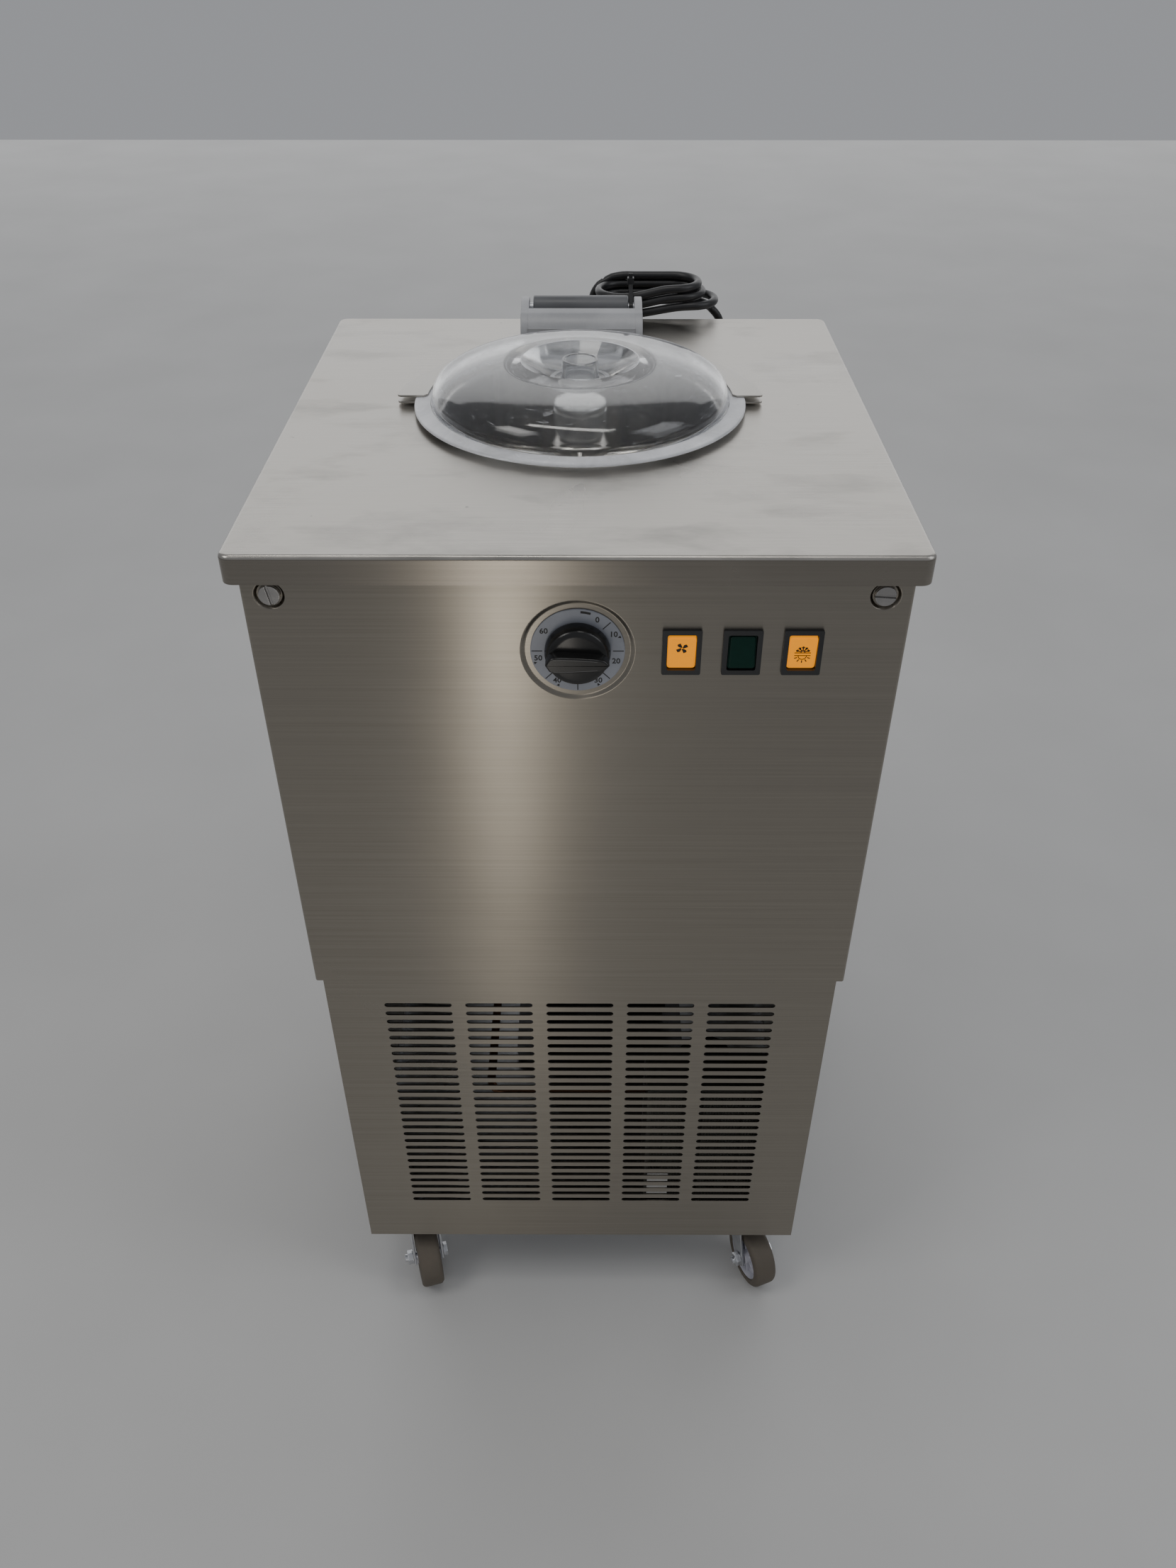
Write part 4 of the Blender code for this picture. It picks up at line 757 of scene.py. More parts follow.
def make_bowl():
    low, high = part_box("freezing_bowl")
    top = high.z
    radius, wall, bend = 0.1075, 0.0015, 0.012
    floor = top - 0.150
    column, bore = 0.014, 0.0110
    column_top = TOP - 0.034
    inside = arc(radius - bend, floor + bend, bend, -90, 0, 10)
    outside = arc(radius - bend, floor + bend, bend + wall, 0, -90, 10)
    profile = [((high.x - low.x) / 2, top), ((high.x - low.x) / 2, top - wall), (radius + wall, top - wall)]
    profile += outside + [(bore, floor - wall), (bore, column_top), (column, column_top), (column, floor)]
    profile += inside + [(radius, top - 0.0008), (radius + 0.0008, top)]
    piece("bowl_shell", lathe(profile, 128, (0, AXIS.y, 0)), "cabinet", "polished_steel",
          ("freezing_bowl",), smooth=40.0)


def make_paddle():
    low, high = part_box("paddle")
    floor = low.z
    sleeve, bore = 0.0150, 0.0086
    top = high.z
    profile = [(0.0158, top), (0.0170, top - 0.0006), (0.0186, top - 0.0012), (0.0212, top - 0.0040),
               (0.0236, top - 0.0078), (0.0240, top - 0.0088), (0.0238, top - 0.0100), (0.0190, top - 0.0122),
               (0.0190, floor + 0.001), (0.0182, floor), (sleeve, floor), (sleeve, top - 0.0127),
               (bore, top - 0.0127), (bore, top)]
    shapes = [lathe(profile, 96, (0, AXIS.y, 0))]
    reach = 0.1060
    outer = [(0.0178, floor + 0.001), (reach - 0.0105, floor), (reach, floor + 0.012),
             (reach, floor + 0.0992),
             (reach - 0.0045, floor + 0.100), (reach - 0.009, floor + 0.0992), (reach - 0.012, floor + 0.060),
             (0.0178, TOP - 0.044)]
    for angle in (30, 150, 270):
        turn = Matrix.Translation((0, AXIS.y, 0)) @ rotation(angle, "Z")
        window = [(0.030, floor + 0.012), (reach - 0.020, floor + 0.012), (reach - 0.020, floor + 0.048),
                  (0.030, TOP - 0.066)]
        bm = flat([outer, window], "XZ")
        for v in bm.verts:
            v.co.y = -0.0018
        arm = thicken(bm, 0.0036, (0, -1, 0))
        rounded_edges(arm, 0.0010, 2, 50.0)
        shapes.append(moved(baked(arm), turn))
    piece("paddle_casting", merged(*shapes), "paddle_drive", "paddle_steel", ("paddle",))


def make_nut():
    """The knurled nut: the band's diamond knurl is real relief."""
    z = TOP
    r = 0.0210
    knurls = 60

    def knurl(angle, radius, height):
        local = (height - z) * 1000
        if -15.0 <= local <= -3.8:
            depth = sum(abs(math.sin(knurls / 2 * angle + way * local * 1.9)) for way in (1, -1))
            return radius - 0.00045 + 0.00030 * depth
        return radius

    band = [(r - 0.0003, z - 0.0038 - i * 0.0112 / 14) for i in range(15)]
    profile = [(0.0, z + 0.0024), (r - 0.0022, z + 0.0024), (r - 0.0012, z + 0.0020),
               (r - 0.0006, z + 0.0010),
               (r - 0.0006, z - 0.0022), (r - 0.0020, z - 0.0027), (r - 0.0026, z - 0.0031)] + band
    profile += [(r - 0.0010, z - 0.0156), (r - 0.0030, z - 0.0166), (r - 0.0030, z - 0.0180),
                (0.0086, z - 0.0180), (0.0086, z - 0.0080), (0.0, z - 0.0080)]
    piece("knurled_nut", lathe(profile, 240, (0, AXIS.y, 0), wobble=knurl), "nut", "nut_steel",
          ("paddle_nut",), smooth=30.0)


# Lid


def dome_curve(radius, base, rise, count):
    made = []
    for i in range(count + 1):
        t = math.radians(24 + 66 * i / count)
        made.append((radius * math.sin(t) ** (2 / 2.6), base + rise * math.cos(t) ** (2 / 3.4)))
    return made


def make_lid():
    low, high = DOME_LOW, DOME_HIGH
    bottom = low.z
    top = bottom + 0.0029
    rise = high.z - top
    crown = high.z
    radius, wall, flange = 0.115, 0.003, (high.x - low.x) / 2
    outside = dome_curve(radius, top, rise, 30)[:-2]
    outside += [(radius - 0.0004, top + 0.0035), (radius + 0.0004, top + 0.0014),
                (radius + 0.0016, top + 0.0003)]
    inside = dome_curve(radius - wall, top - wall, rise, 30)
    inside.reverse()
    inside[0] = (radius - wall, bottom)
    rim, throat, throat_z = 0.045, 0.0205, TOP + 0.0200
    profile = [(rim, crown - 0.0004), (rim + 0.0008, crown)]
    profile += outside
    profile += [(flange - 0.0012, top), (flange - 0.0004, top - 0.0004), (flange, top - 0.0012),
                (flange, bottom + 0.0005), (flange - 0.0006, bottom)]
    profile += inside
    profile += [(throat + 0.0070, throat_z - 0.0025), (throat, throat_z - 0.0025), (throat, throat_z),
                (throat + 0.0035, throat_z), (throat + 0.0050, throat_z + 0.0008)]
    dome = lathe(profile, 160, (0, AXIS.y, 0))
    piece("dome", dome, "lid", "dome_plastic", ("lid_dome",), smooth=40.0)
    dome.data.materials.append(LOOKS["frosted_plastic"])
    dome.data.materials.append(LOOKS["cone_plastic"])
    for face in dome.data.polygons:
        spot = face.center - Vector((0, AXIS.y, 0))
        out = math.hypot(spot.x, spot.y)
        under_cone = out < 0.052 and face.normal.z < -0.1
        lip = rim - 0.0012 < out < rim + 0.0010 and spot.z > crown - 0.0012
        if out > radius + 0.0012 or lip:
            face.material_index = 1
        elif under_cone:
            face.material_index = 2
    r = 0.014
    seat = throat_z + GAP
    plug = [(0.0, seat + 0.0022), (r - 0.0028, seat + 0.0022), (r - 0.0025, crown - 0.0006),
            (r - 0.0019, crown),
            (r - 0.0006, crown), (r, crown - 0.0006), (r + 0.0002, seat + 0.0034),
            (r + 0.0010, seat + 0.0024),
            (throat + 0.0026, seat + 0.0022), (throat + 0.0030, seat + 0.0018), (throat + 0.0030, seat),
            (throat - 0.0006, seat), (throat - 0.0010, seat - 0.003), (0.0, seat - 0.003)]
    piece("plug", lathe(plug, 96, (0, AXIS.y, 0)), "plug_in_funnel", "plug_plastic",
          ("funnel_plug",), smooth=40.0)


def make_carriers():
    outer, inner, ear, tongue = 0.136, 0.1195, 0.143, 0.0465
    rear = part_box("lid_carrier_upper")[1].y
    mouth = math.degrees(math.asin(tongue / outer))
    right = arc(0, 0, outer, 26, 90 - mouth, 24)
    left = [(-x, y) for x, y in reversed(right)]
    corner = arc(ear - 0.0030, 0.0030, 0.0030, -80, 0, 5)
    tab = [(inner + 0.003, 0.0), *corner, (ear - 0.0008, 0.010), (ear - 0.0035, 0.024), (ear - 0.0085, 0.036),
           (ear - 0.0145, 0.050)]
    tab_left = [(-x, y) for x, y in reversed(tab)]
    outline = tab + right + [(tongue, rear - AXIS.y), (-tongue, rear - AXIS.y)] + left + tab_left
    outline += arc(0, 0, inner, 178.5, 1.5, 64)
    outline = [(x, y + AXIS.y) for x, y in outline]
    for node in ("lid_carrier_upper", "lid_carrier_lower"):
        low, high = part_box(node)
        obj = prism(outline, low.z, high.z, "XY")
        rounded_edges(obj, 0.0003, 2, 50.0)
        piece(node + "_plate", obj, "lid", "carrier_steel", (node,), smooth=30.0)


def make_hinge():
    y, z = HINGE.y, HINGE.z
    low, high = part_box("hinge_casting")
    half = high.x
    ear = 0.0468
    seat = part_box("lid_carrier_upper")[1].z + GAP
    bottom = low.z
    front = arc(y - 0.0170, z - 0.0190, 0.0240, 173, 112, 16)
    back = arc(y, z, 0.0095, 62, -80, 16)
    side = [(y - 0.0398, bottom), *front, (y - 0.0180, z + 0.0046), (y - 0.0080, z + 0.0080), *back,
            (y - 0.0100, z - 0.0120), (y - 0.0150, bottom)]
    shapes = [prism(side, -half, -ear, "YZ", 0.0010, 2), prism(side, ear, half, "YZ", 0.0010, 2)]
    inner = arc(y - 0.0170, z - 0.0190, 0.0205, 112, 168, 16)
    wall = [(y - 0.0402, seat), *front, (y - 0.0180, z + 0.0046), (y - 0.0172, z + 0.0035),
            (y - 0.0180, z + 0.0010),
            *inner, (y - 0.0370, seat)]
    shapes.append(prism(wall, -ear - 0.0005, ear + 0.0005, "YZ", 0.0, 2))
    floor = [(y - 0.0395, seat), (y - 0.0395, seat + 0.003), (y - 0.0190, seat + 0.003), (y - 0.0190, seat)]
    shapes.append(prism(floor, -ear - 0.0005, ear + 0.0005, "YZ"))
    piece("hinge_arm", merged(*shapes), "lid", "cast_grey", ("hinge_casting",), smooth=40.0)

    low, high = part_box("hinge_barrel")
    r = 0.0103
    drum = [(0.0041, 0.0), (r - 0.0008, 0.0), (r, 0.0008), (r, high.x - low.x - 0.0008),
            (r - 0.0008, high.x - low.x), (0.0041, high.x - low.x)]
    barrel = lathe([(a, b) for a, b in reversed(drum)], 64, (low.x, y, z), "X")
    foot = prism([(y - 0.0080, low.z), (y - 0.0072, z - 0.004), (y + 0.0072, z - 0.004),
                  (y + 0.0120, z - 0.0095),
                  (y + 0.0160, low.z + 0.004), (y + 0.0163, low.z)], low.x + 0.0003, high.x - 0.0003, "YZ",
                  0.0008, 2)
    piece("barrel", merged(barrel, foot), "cabinet", "barrel_grey", ("hinge_barrel",),
          smooth=40.0)
    ends = [(0.0, PIN_LOW.x), (0.0030, PIN_LOW.x), (0.0040, PIN_LOW.x + 0.0008),
            (0.0040, PIN_HIGH.x - 0.0008),
            (0.0030, PIN_HIGH.x), (0.0, PIN_HIGH.x)]
    piece("pin", lathe(ends, 32, (0, y, z), "X"), "cabinet", "zinc_steel", ("hinge_pin",))


# Controls


def make_timer():
    """Dial plate, its scale, and the knob with its bar grip."""
    low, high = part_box("dial_plate")
    face = low.y
    r = (high.x - low.x) / 2
    plate = [(0.0058, 0.0), (0.0058, 0.0010), (r - 0.0004, 0.0010), (r, 0.0006), (r, 0.0)]
    piece("dial", lathe(plate, 96, (0, high.y, DIAL_Z), "Y"), "cabinet", "dial_white",
          ("dial_plate",))
    marks = []
    lift = face - 0.00002
    for turn in (45.0, 90.0, 135.0, 180.0, 225.0, 270.0):
        bar = block((-0.00030, -0.00012, r - 0.0080), (0.00030, 0.0, r - 0.0008))
        marks.append(moved(bar, Matrix.Translation((0, lift, DIAL_Z)) @ rotation(turn, "Y")))
    wedge = arc(0, 0, 0.0302, 86, 73, 6) + arc(0, 0, 0.0286, 73, 86, 6)
    marks.append(moved(prism(wedge, 0.0, 0.00012, "XZ"), Matrix.Translation((0, lift - 0.00012, DIAL_Z))))
    for turn in (69.0, 152.0, 206.0, 252.0):
        pointer = prism([(-0.0010, r - 0.0010), (0.0010, r - 0.0010), (0.0, r - 0.0030)], 0.0, 0.00012, "XZ")
        place_at = Matrix.Translation((0, lift - 0.00012, DIAL_Z)) @ rotation(turn, "Y")
        marks.append(moved(pointer, place_at))
    piece("dial_ticks", merged(*marks), "cabinet", "mark_black", smooth=0)
    for minutes, degrees in ((0, 29), (10, 62), (20, 107), (30, 149), (40, 211), (50, 258), (60, 304)):
        turn = math.radians(degrees)
        text = bpy.data.curves.new("number", "FONT")
        text.body = str(minutes)
        text.size = 0.0056
        text.offset = 0.00010
        text.align_x = "CENTER"
        text.align_y = "CENTER"
        text.extrude = 0.00005
        text.resolution_u = 3
        obj = bpy.data.objects.new("number", text)
        bpy.context.scene.collection.objects.link(obj)
        bpy.context.view_layer.update()
        mesh = bpy.data.meshes.new_from_object(obj.evaluated_get(bpy.context.evaluated_depsgraph_get()))
        bpy.data.objects.remove(obj, do_unlink=True)
        made = bpy.data.objects.new("number", mesh)
        bpy.context.scene.collection.objects.link(made)
        spot = Vector((math.sin(turn), 0.0, math.cos(turn))) * (r - 0.0046)
        place_at = Vector((0, face - 0.00006, DIAL_Z)) + spot
        moved(made, Matrix.Translation(place_at) @ rotation(90, "X"))
        piece("dial_number_%d" % minutes, made, "cabinet", "mark_black", smooth=0)

    back = face - GAP
    front = KNOB_LOW.y
    depth = back - front
    rk = (KNOB_HIGH.x - KNOB_LOW.x) / 2

    def notch(angle, radius, height):
        """The skirt is cut flat at its lower left."""
        turn = math.degrees(angle) % 360
        away = abs((turn - 222.0 + 180.0) % 360 - 180.0)
        if away < 24.0:
            return min(radius, rk * 0.93 / max(0.5, math.cos(math.radians(away))))
        return radius

    skirt = [(0.0, 0.0), (rk - 0.0004, 0.0), (rk, 0.0006), (rk, 0.0030), (rk - 0.0006, 0.0060),
             (rk - 0.0016, depth * 0.46), (rk - 0.0030, depth * 0.54), (rk - 0.0060, depth * 0.58),
             (0.0, depth * 0.60)]
    body = lathe([(a, b) for a, b in reversed(skirt)], 128, (0, back, DIAL_Z), "Y", wobble=notch)
    taper = []
    for x in range(17):
        t = -1 + 2 * x / 16
        reach = rk - 0.0010
        half = 0.0042 + 0.0024 * (0.5 - 0.5 * t)
        taper.append((t * reach, half * math.sqrt(max(0.0, 1 - abs(t) ** 5)) + 0.0002))
    outline = taper + [(x, -h) for x, h in reversed(taper)]
    grip = prism([(x, DIAL_Z + h) for x, h in outline], front, back - depth * 0.5, "XZ", 0.0011, 3)
    lines = []
    for side in (-1, 1):
        for (xa, ha), (xb, hb) in zip(taper[2:13], taper[3:14]):
            strip = [(xa, side * (ha - 0.0016)), (xb, side * (hb - 0.0016)),
                     (xb, side * (hb - 0.0014)), (xa, side * (ha - 0.0014))]
            lines.append(prism([(x, DIAL_Z + h) for x, h in strip], front - 0.00010, front + 0.0001, "XZ"))
    spindle = lathe([(0.0, 0.0), (0.003, 0.0), (0.003, -0.0115), (0.0, -0.0115)][::-1], 24,
                    (0, back, DIAL_Z), "Y")
    piece("knob_body", merged(body, grip, spindle), "knob", "knob_black", ("timer_knob",),
          smooth=40.0)
    piece("knob_lines", merged(*lines), "knob", "line_grey", smooth=0)


def fan_icon():
    """Four curved blades."""
    shapes = []
    for i in range(4):
        blade = []
        for k in range(9):
            t = k / 8
            blade.append((0.0004 + 0.0026 * t, 0.0002 + 0.0012 * math.sin(math.pi * t * 0.75)))
        for k in range(8, -1, -1):
            t = k / 8
            blade.append((0.0004 + 0.0026 * t, -0.0004 - 0.0001 * t))
        shape = prism(blade, 0.0, 0.00010, "XY")
        shapes.append(moved(shape, rotation(90 * i + 25, "Z")))
    return merged(*shapes)


def frost_and_sun_icon():
    """Half a frost star over half a sun, with a line under and over them."""
    shapes = []
    for i in range(5):
        angle = 20 + 35 * i
        spoke = block((0.0006, -0.00030, 0), (0.0036, 0.00030, 0.0001))
        shapes.append(moved(spoke, Matrix.Translation((0, 0.0010, 0)) @ rotation(angle, "Z")))
        for turn in (-35, 35):
            twig = block((0.0, -0.00024, 0), (0.0012, 0.00024, 0.0001))
            place_at = Matrix.Translation((0, 0.0010, 0)) @ rotation(angle, "Z")
            shapes.append(moved(twig, place_at @ Matrix.Translation((0.0022, 0, 0)) @ rotation(turn, "Z")))
    for height in (0.0007, -0.0009):
        shapes.append(block((-0.0040, height - 0.00022, 0), (0.0040, height + 0.00022, 0.0001)))
    for i in range(5):
        angle = -20 - 35 * i
        ray = block((0.0026, -0.00026, 0), (0.0041, 0.00026, 0.0001))
        shapes.append(moved(ray, Matrix.Translation((0, -0.0012, 0)) @ rotation(angle, "Z")))
    rim = arc(0, -0.0012, 0.0022, 180, 360, 16) + arc(0, -0.0012, 0.0018, 360, 180, 16)
    shapes.append(prism(rim, 0.0, 0.0001, "XY"))
    return merged(*shapes)


def make_switches():
    """Each switch's body, and its rocker with a raised clear lens and a printed sign."""
    for name, look, tilt, icon in (("fan", "amber_lens", 5.0, fan_icon), ("power", "green_lens", -5.0, None),
                                   ("mode", "amber_lens", 5.0, frost_and_sun_icon)):
        low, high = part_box("switch_body_" + name)
        x = (low.x + high.x) / 2
        joint = next(j for j in frame["record"]["behaviour"]["joints"] if j["name"] == name + "_rocker_tilt")
        pivot = Vector(joint["pos_m"])
        cavity = (0.0193 / 2, 0.0270 / 2)
        bm = flat([rounded(low.x, low.z, high.x, high.z, 0.0012, 4),
                   rounded(x - cavity[0], DIAL_Z - cavity[1], x + cavity[0], DIAL_Z + cavity[1], 0.0014,
                           4)], "XZ")
        for v in bm.verts:
            v.co.y = low.y
        bezel = thicken(bm, COVER_FRONT - low.y - 0.0001, (0, -1, 0))
        rounded_edges(bezel, 0.0005, 2, 50.0)
        piece("bezel_" + name, bezel, "cabinet", "bezel_black", smooth=35.0)
        box_low = Vector((x - 0.0107, COVER_FRONT + 0.0012, DIAL_Z - 0.0147))
        box_high = Vector((x + 0.0107, high.y, DIAL_Z + 0.0147))
        shell = []
        wall = 0.0009
        shell.append(block(box_low, (box_low.x + wall, box_high.y, box_high.z)))
        shell.append(block((box_high.x - wall, box_low.y, box_low.z), box_high))
        shell.append(block((box_low.x + wall, box_low.y, box_low.z),
                           (box_high.x - wall, box_high.y, box_low.z + wall)))
        shell.append(block((box_low.x + wall, box_low.y, box_high.z - wall),
                           (box_high.x - wall, box_high.y, box_high.z)))
        shell.append(block((box_low.x + wall, box_low.y + 0.014, box_low.z + wall),
                           (box_high.x - wall, box_high.y, box_high.z - wall)))
        piece("switch_case_" + name, merged(*shell), "cabinet", "bezel_black",
              ("switch_body_" + name,), smooth=0)
        half_x, half_z = 0.0094, 0.0126
        front = -0.0063
        outline = rounded(-half_x, -half_z, half_x, half_z, 0.0022, 6)
        frame_part = prism(outline, front + 0.0010, 0.0019, "XZ", 0.0003, 1)
        lens = prism(rounded(-half_x + 0.0009, -half_z + 0.0009, half_x - 0.0009, half_z - 0.0009, 0.0020, 6),
                     front - 0.0002, front + 0.0014, "XZ", 0.0007, 3)
        place_at = Matrix.Translation(pivot) @ rotation(tilt, "X")
        body = "%s_rocker" % name
        piece("rocker_lens_" + name, moved(merged(frame_part, lens), place_at), body, look,
              ("rocker_" + name,))
        if icon:
            sign = moved(icon(), Matrix.Diagonal((1.35, 1.35, 1.0, 1.0)))
            lift = 0.0045 if name == "fan" else 0.0
            flip = Matrix.Translation((0, front - 0.00022, lift)) @ rotation(90, "X")
            moved(sign, place_at @ flip)
            piece("rocker_sign_" + name, sign, body, "mark_black", smooth=0)


def make_screws():
    """Slotted cheese-head screws in the cover's dimples."""
    for name, turn in (("panel_screw_left", 80.0), ("panel_screw_right", 4.0)):
        low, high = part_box(name)
        centre = Vector(((low.x + high.x) / 2, 0, (low.z + high.z) / 2))
        face = low.y
        r = (high.x - low.x) / 2
        half = 0.0008
        halves = []
        for side in (-1, 1):
            edge = math.degrees(math.asin(half / r))
            outline = arc(0, 0, r, edge, 180 - edge, 24)
            outline = [(px, side * py) for px, py in outline]
            halves.append(prism(outline, -0.0029, 0.0, "XY", 0.0005, 3))
        halves.append(lathe([(0.0, -0.0012), (r - 0.0002, -0.0012), (r - 0.0002, -0.0029), (0.0, -0.0029)],
                            48))
        shape = merged(*halves)
        matrix = Matrix.Translation((centre.x, face, centre.z)) @ rotation(turn, "Y") @ AXES["Y"]
        piece(name + "_head", moved(shape, matrix), "cabinet", "screw_steel", (name,),
              smooth=35.0)


# Castors


CASTORS = {"front_left": 16.0, "front_right": 22.0, "rear_left": 12.0, "rear_right": 25.0}
WHEEL_RADIUS = 0.0325
WHEEL_WIDTH = 0.023
TRAIL = 0.028


def castor_parts():
    """Tyre, hub, fork and axle, with the kingpin on the local Z axis and the wheel towards local -Y."""
    r, half = WHEEL_RADIUS, WHEEL_WIDTH / 2
    tread = arc(r - 0.0046, half - 0.0046, 0.0046, 70, 0, 6)
    profile = [(0.0238, half - 0.0010), (0.0245, half), *tread]
    profile += [(a, -b) for a, b in reversed(profile)]
    tyre = lathe(profile, 96, (0, -TRAIL, r), "X")
    disc = [(0.0238, half - 0.0012), (0.0232, half - 0.0008), (0.0222, half - 0.0016), (0.0205, 0.0052),
            (0.0180, 0.0042), (0.0100, 0.0042), (0.0086, 0.0060), (0.0082, half - 0.0006), (0.0076, half),
            (0.0043, half)]
    hub = lathe(disc + [(a, -b) for a, b in reversed(disc)], 72, (0, -TRAIL, r), "X")
    ribs = []
    for angle in range(15, 375, 60):
        turn = Matrix.Translation((0, -TRAIL, r)) @ rotation(angle, "X")
        for inner, outer in ((-0.0078, -0.0036), (0.0036, 0.0078)):
            rib = block((inner, 0.0075, -0.0009), (outer, 0.0212, 0.0009), 0.0004, 1)
            ribs.append(moved(rib, turn))
    hub = merged(hub, *ribs)

    seat = 0.0885 - GAP
    top = seat - 0.007
    race = lathe([(0.0, seat), (0.0235, seat), (0.0240, seat - 0.0008), (0.0240, seat - 0.0024),
                  (0.0228, seat - 0.0030), (0.0216, seat - 0.0034), (0.0222, seat - 0.0042),
                  (0.0215, seat - 0.0066),
                  (0.0195, top), (0.0, top)], 64)
    gap, leg = half + 0.0015, 0.0025
    eye = arc(-TRAIL, r, 0.0090, 205, 335, 14)
    outline = [*eye, (-0.0060, r + 0.020), (0.0125, top + 0.0010), (-0.0200, top + 0.0010),
               (-0.0300, r + 0.018)]
    legs = []
    for side in (-1, 1):
        low = gap if side > 0 else -gap - leg
        legs.append(prism(outline, low, low + leg, "YZ", 0.0005, 2))
    bridge = block((-gap - leg, -0.0200, top - 0.0025), (gap + leg, 0.0125, top + 0.001), 0.0010, 3)
    nut = lathe([(0.0, seat + 0.0120), (0.0055, seat + 0.0120), (0.0060, seat + 0.0114),
                 (0.0060, seat - 0.001), (0.0, seat - 0.001)], 24)
    fork = merged(race, *legs, bridge, nut)

    reach = gap + leg + GAP
    bolt = lathe([(0.0, -reach - 0.0085), (0.0032, -reach - 0.0085), (0.0040, -reach - 0.0078),
                  (0.0040, reach + 0.001), (0.0, reach + 0.001)], 24, (0, -TRAIL, r), "X")
    parts = [bolt]
    for start, end in ((-reach, -reach - 0.0055), (reach, reach + 0.0045)):
        low, high = min(start, end), max(start, end)
        hexagon = prism(circle(0, 0, 0.0070, 6), low, high, "XY", 0.0006, 2)
        parts.append(moved(hexagon, Matrix.Translation((0, -TRAIL, r)) @ AXES["X"]))
        inner, outer = (low, low + 0.0008) if start > 0 else (high - 0.0008, high)
        washer = [(0.0, inner), (0.0076, inner), (0.0076, outer), (0.0, outer)]
        parts.append(lathe(washer, 32, (0, -TRAIL, r), "X"))
    return tyre, hub, fork, merged(*parts)


def make_castors():
    tyre, hub, fork, axle = castor_parts()
    for name, turn in CASTORS.items():
        joint = next(j for j in frame["record"]["behaviour"]["joints"]
                     if j["name"] == "swivel_%s_turn" % name)
        x, y, _ = joint["pos_m"]
        place_at = Matrix.Translation((x, y, 0)) @ rotation(turn, "Z")
        for part, source, body, look, slot, replaced in (
            ("tyre_", tyre, "wheel_", "tyre_rubber", "tyre_rubber", ("castor_wheel_" + name,)),
            ("hub_", hub, "wheel_", "hub_plastic", "tyre_rubber", ()),
            ("fork_", fork, "swivel_", "zinc_steel", "zinc_steel", ("castor_fork_" + name,)),
            ("axle_", axle, "swivel_", "zinc_steel", "zinc_steel", ("castor_axle_" + name,)),
        ):
            obj = bpy.data.objects.new(part + name, source.data.copy())
            bpy.context.scene.collection.objects.link(obj)
            moved(obj, place_at)
            piece(part + name, obj, body + name, look, replaced, smooth=35.0)
    for source in (tyre, hub, fork, axle):
        bpy.data.objects.remove(source, do_unlink=True)


# Mains cord


def smooth_route(points, step):
    """Points about a step apart on a smooth curve through the given ones."""
    route = [Vector(p) for p in points]
    route = [2 * route[0] - route[1], *route, 2 * route[-1] - route[-2]]
    made = []
    for i in range(1, len(route) - 2):
        before, start, end, after = route[i - 1 : i + 3]
        pieces = max(1, round((end - start).length / step))
        for k in range(pieces):
            t = k / pieces
            made.append(
                0.5 * (2 * start + (end - before) * t
                       + (2 * before - 5 * start + 4 * end - after) * t * t
                       + (3 * start - before - 3 * end + after) * t ** 3)
            )
    made.append(route[-2])
    return made


def hank_route():
    """The cord's turns in the hank: each lies flat and steps up a diameter along its near run."""
    y = (HANK_LOW.y + HANK_HIGH.y) / 2
    outer = HANK_FOLD + CORD_RADIUS
    left = HANK_LOW.x + outer
    right = HANK_HIGH.x - outer
    low = HANK_LOW.z + CORD_RADIUS
    d = 2 * CORD_RADIUS
    shorten = (0.0, 0.003, 0.015, 0.019)
    points = []
    for turn in range(HANK_TURNS):
        z = low + turn * d
        far = right - shorten[turn]
        for t in (0.0, 0.25, 0.5, 0.75):
            points.append((far + (left - far) * t, y + HANK_FOLD, z))
        if turn == HANK_TURNS - 1:
            points.append((left, y + HANK_FOLD, z))
            break
        points += [(px, py, z) for px, py in arc(left, y, HANK_FOLD, 90, 270, 12)]
        after = right - shorten[turn + 1]
        for t in (0.2, 0.4, 0.6, 0.8):
            lift = d * (3 * t * t - 2 * t ** 3)
            points.append((left + (after - left) * t, y - HANK_FOLD, z + lift))
        points += [(px, py, z + d) for px, py in arc(after, y, HANK_FOLD, -90, 78, 11)]
    return points, left, right, low, y


def make_cord():
    turns, left, right, low, y = hank_route()
    back = y + HANK_FOLD
    reach = 0.030
    join = [(px, back, pz) for px, pz in arc(right, low - reach, reach, 45, 70, 2)]
    top = low + (HANK_TURNS - 1) * 2 * CORD_RADIUS
    drop = [(px, back, pz) for px, pz in arc(left, top - reach, reach, 110, 130, 2)]
    end = Vector(TAIL_ROUTE[-1])
    route = smooth_route([*RISER_ROUTE, *join, *turns, *drop, *TAIL_ROUTE], 0.0035)
    cord = tube(route, CORD_RADIUS, 5)
    piece("mains_cord", cord, "cabinet", "cord_rubber",
          ("cord_riser", "cord_tail", "cord_hank"))
    gland = make_gland()
    tie = make_tie()
    plug, pins = make_plug(end)


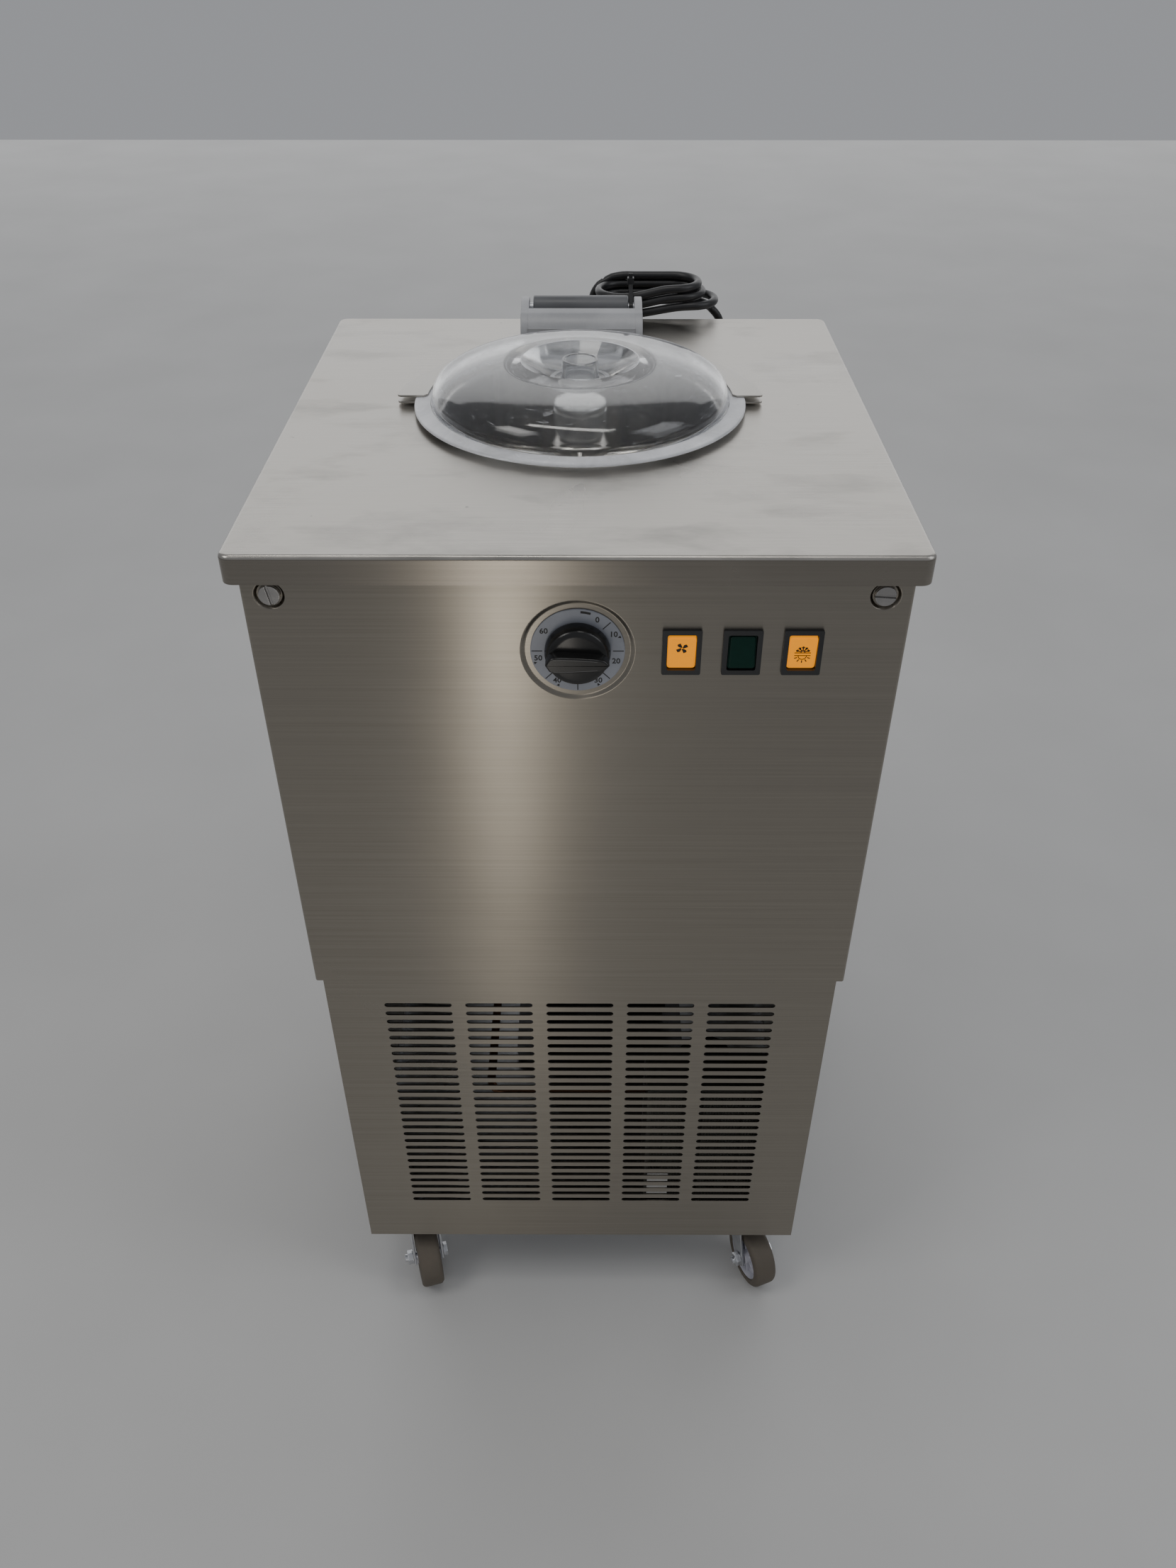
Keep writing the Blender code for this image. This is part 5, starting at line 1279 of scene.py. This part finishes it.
def make_gland():
    """A panel gland with a ribbed, tapered strain relief."""
    x = (GLAND_LOW.x + GLAND_HIGH.x) / 2
    z = (GLAND_LOW.z + GLAND_HIGH.z) / 2
    face = REAR_HIGH.y
    tip = GLAND_HIGH.y - face
    profile = [(0.0, -0.016), (0.0080, -0.016), (0.0080, GAP), (0.0106, GAP), (0.0110, 0.0010),
               (0.0110, 0.0078),
               (0.0104, 0.0085), (0.0078, 0.0088)]
    for i in range(7):
        start = 0.0100 + i * 0.0034
        radius = 0.0074 - 0.0029 * i / 7
        profile += [(radius, start), (radius, start + 0.0020), (radius - 0.0010, start + 0.0023),
                    (radius - 0.0010, start + 0.0031)]
    profile += [(0.0046, tip - 0.0010), (0.0042, tip), (0.0, tip)]
    shape = lathe([(r, -h) for r, h in profile], 48, (x, face, z), "Y")
    return piece("strain_relief", shape, "cabinet", "black_plastic", ("cord_gland",),
                 smooth=30.0)


def make_tie():
    """A nylon tie round the hinge pin and the hank, with its lock and a snipped tail on top."""
    low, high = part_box("cord_tie")
    near = HANK_LOW.y
    far = near + 2 * CORD_RADIUS
    bottom, top = HANK_LOW.z, HANK_HIGH.z
    middle = (low.x + high.x) / 2
    pin = 0.0040 + GAP
    thick = 0.0012

    def loop(grow):
        corner = 0.0020 + grow
        return (arc(HINGE.y, HINGE.z, pin + grow, 130, 235, 16)
                + arc(near + 0.0017, bottom + 0.0017, corner, 215, 270, 4)
                + arc(far - 0.0017, bottom + 0.0017, corner, 270, 360, 6)
                + arc(far - 0.0017, top - 0.0017, corner, 0, 90, 6)
                + arc(near + 0.0017, top - 0.0017, corner, 90, 130, 4))

    bm = flat([loop(thick), loop(0.0)], "YZ")
    for v in bm.verts:
        v.co.x = middle + 0.0018
    strap = thicken(bm, 0.0036, (1, 0, 0))
    baked(strap)
    head = block((middle - 0.0030, near + 0.0004, top + 0.0006),
                 (middle + 0.0030, far - 0.0004, top + 0.0066), 0.0006, 2)
    tail = block((middle - 0.0018, near + 0.0020, top + 0.0060), (middle + 0.0018, near + 0.0034, high.z),
                 0.0003, 1)
    teeth = []
    for i in range(4):
        z = top + 0.0072 + i * 0.0009
        if z < high.z - 0.0006:
            teeth.append(block((middle - 0.0013, near + 0.0033, z),
                               (middle + 0.0013, near + 0.0037, z + 0.0004)))
    return piece("tie", merged(strap, head, tail, *teeth), "cabinet", "black_plastic",
                 ("cord_tie",), smooth=30.0)


def make_plug(end):
    """A round two-pin plug with a ribbed neck and a grip waist."""
    x, y, z = end
    profile = [(0.0, -GAP), (0.0050, -GAP), (0.0056, -0.0008)]
    for i in range(4):
        start = -0.0020 - i * 0.0034
        profile += [(0.0060 + 0.0003 * i, start), (0.0060 + 0.0003 * i, start - 0.0020),
                    (0.0050 + 0.0003 * i, start - 0.0024), (0.0050 + 0.0003 * i, start - 0.0032)]
    profile += [(0.0085, -0.0172), (0.0125, -0.0200), (0.0150, -0.0250), (0.0165, -0.0310), (0.0186, -0.0360),
                (0.0195, -0.0400), (0.0195, -0.0545), (0.0188, -0.0558), (0.0, -0.0560)]
    body = lathe(profile, 72, (x, y, z))
    plug = piece("plug_body", body, "cabinet", "black_plastic", ("mains_plug",), smooth=30.0)
    pins = []
    for side in (-1, 1):
        pin = [(0.0, -0.0555), (0.0024, -0.0555), (0.0024, -0.0735), (0.0017, -0.0747), (0.0, -0.0750)]
        pins.append(lathe(pin, 32, (x + side * 0.0095, y, z)))
    return plug, piece("plug_pins", merged(*pins), "cabinet", "zinc_steel")


# What shows through the slots


def make_inside():
    dress("zinc_steel", "base_tray", "drive_shaft")
    # the inside's aluminium and zinc parts take darkened copies: painted shade
    dress("zinc_painted_shade", "gearbox_deck", "fan_shroud", "compressor_mount")
    dress("black_enamel", "compressor", "drive_motor", "fan_motor")
    dress("aluminium_painted_shade", "gearbox", "fan_blade", "condenser")
    dress("copper_tube", "evaporator_coil", "discharge_pipe")
    dress("bronze_bush", "shaft_bush")
    dress("foam", "insulation_jacket")
    dress("black_plastic", "timer_body")
    low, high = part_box("condenser")
    fins = []
    count = 42
    x0, x1 = low.x + 0.004, high.x - 0.004
    for i in range(count):
        x = x0 + (x1 - x0) * (i + 0.5) / count
        fins.append(block((x - 0.00015, low.y + 0.0005, 0.119),
                          (x + 0.00015, low.y + 0.0040, high.z - 0.006)))
    piece("condenser_fins", merged(*fins), "cabinet", "aluminium_painted_shade", smooth=0)
    label = block((low.x + 0.003, low.y - 0.0004, 0.150), (low.x + 0.023, low.y - 0.0001, 0.182))
    piece("blank_label", label, "cabinet", "label_white", smooth=0)


make_stage()
make_cord()
make_worktop()
make_front_cover()
make_grille()
make_side_panels()
make_rear_panel()
make_bowl()
make_paddle()
make_nut()
make_lid()
make_carriers()
make_hinge()
make_timer()
make_switches()
make_screws()
make_castors()
make_inside()
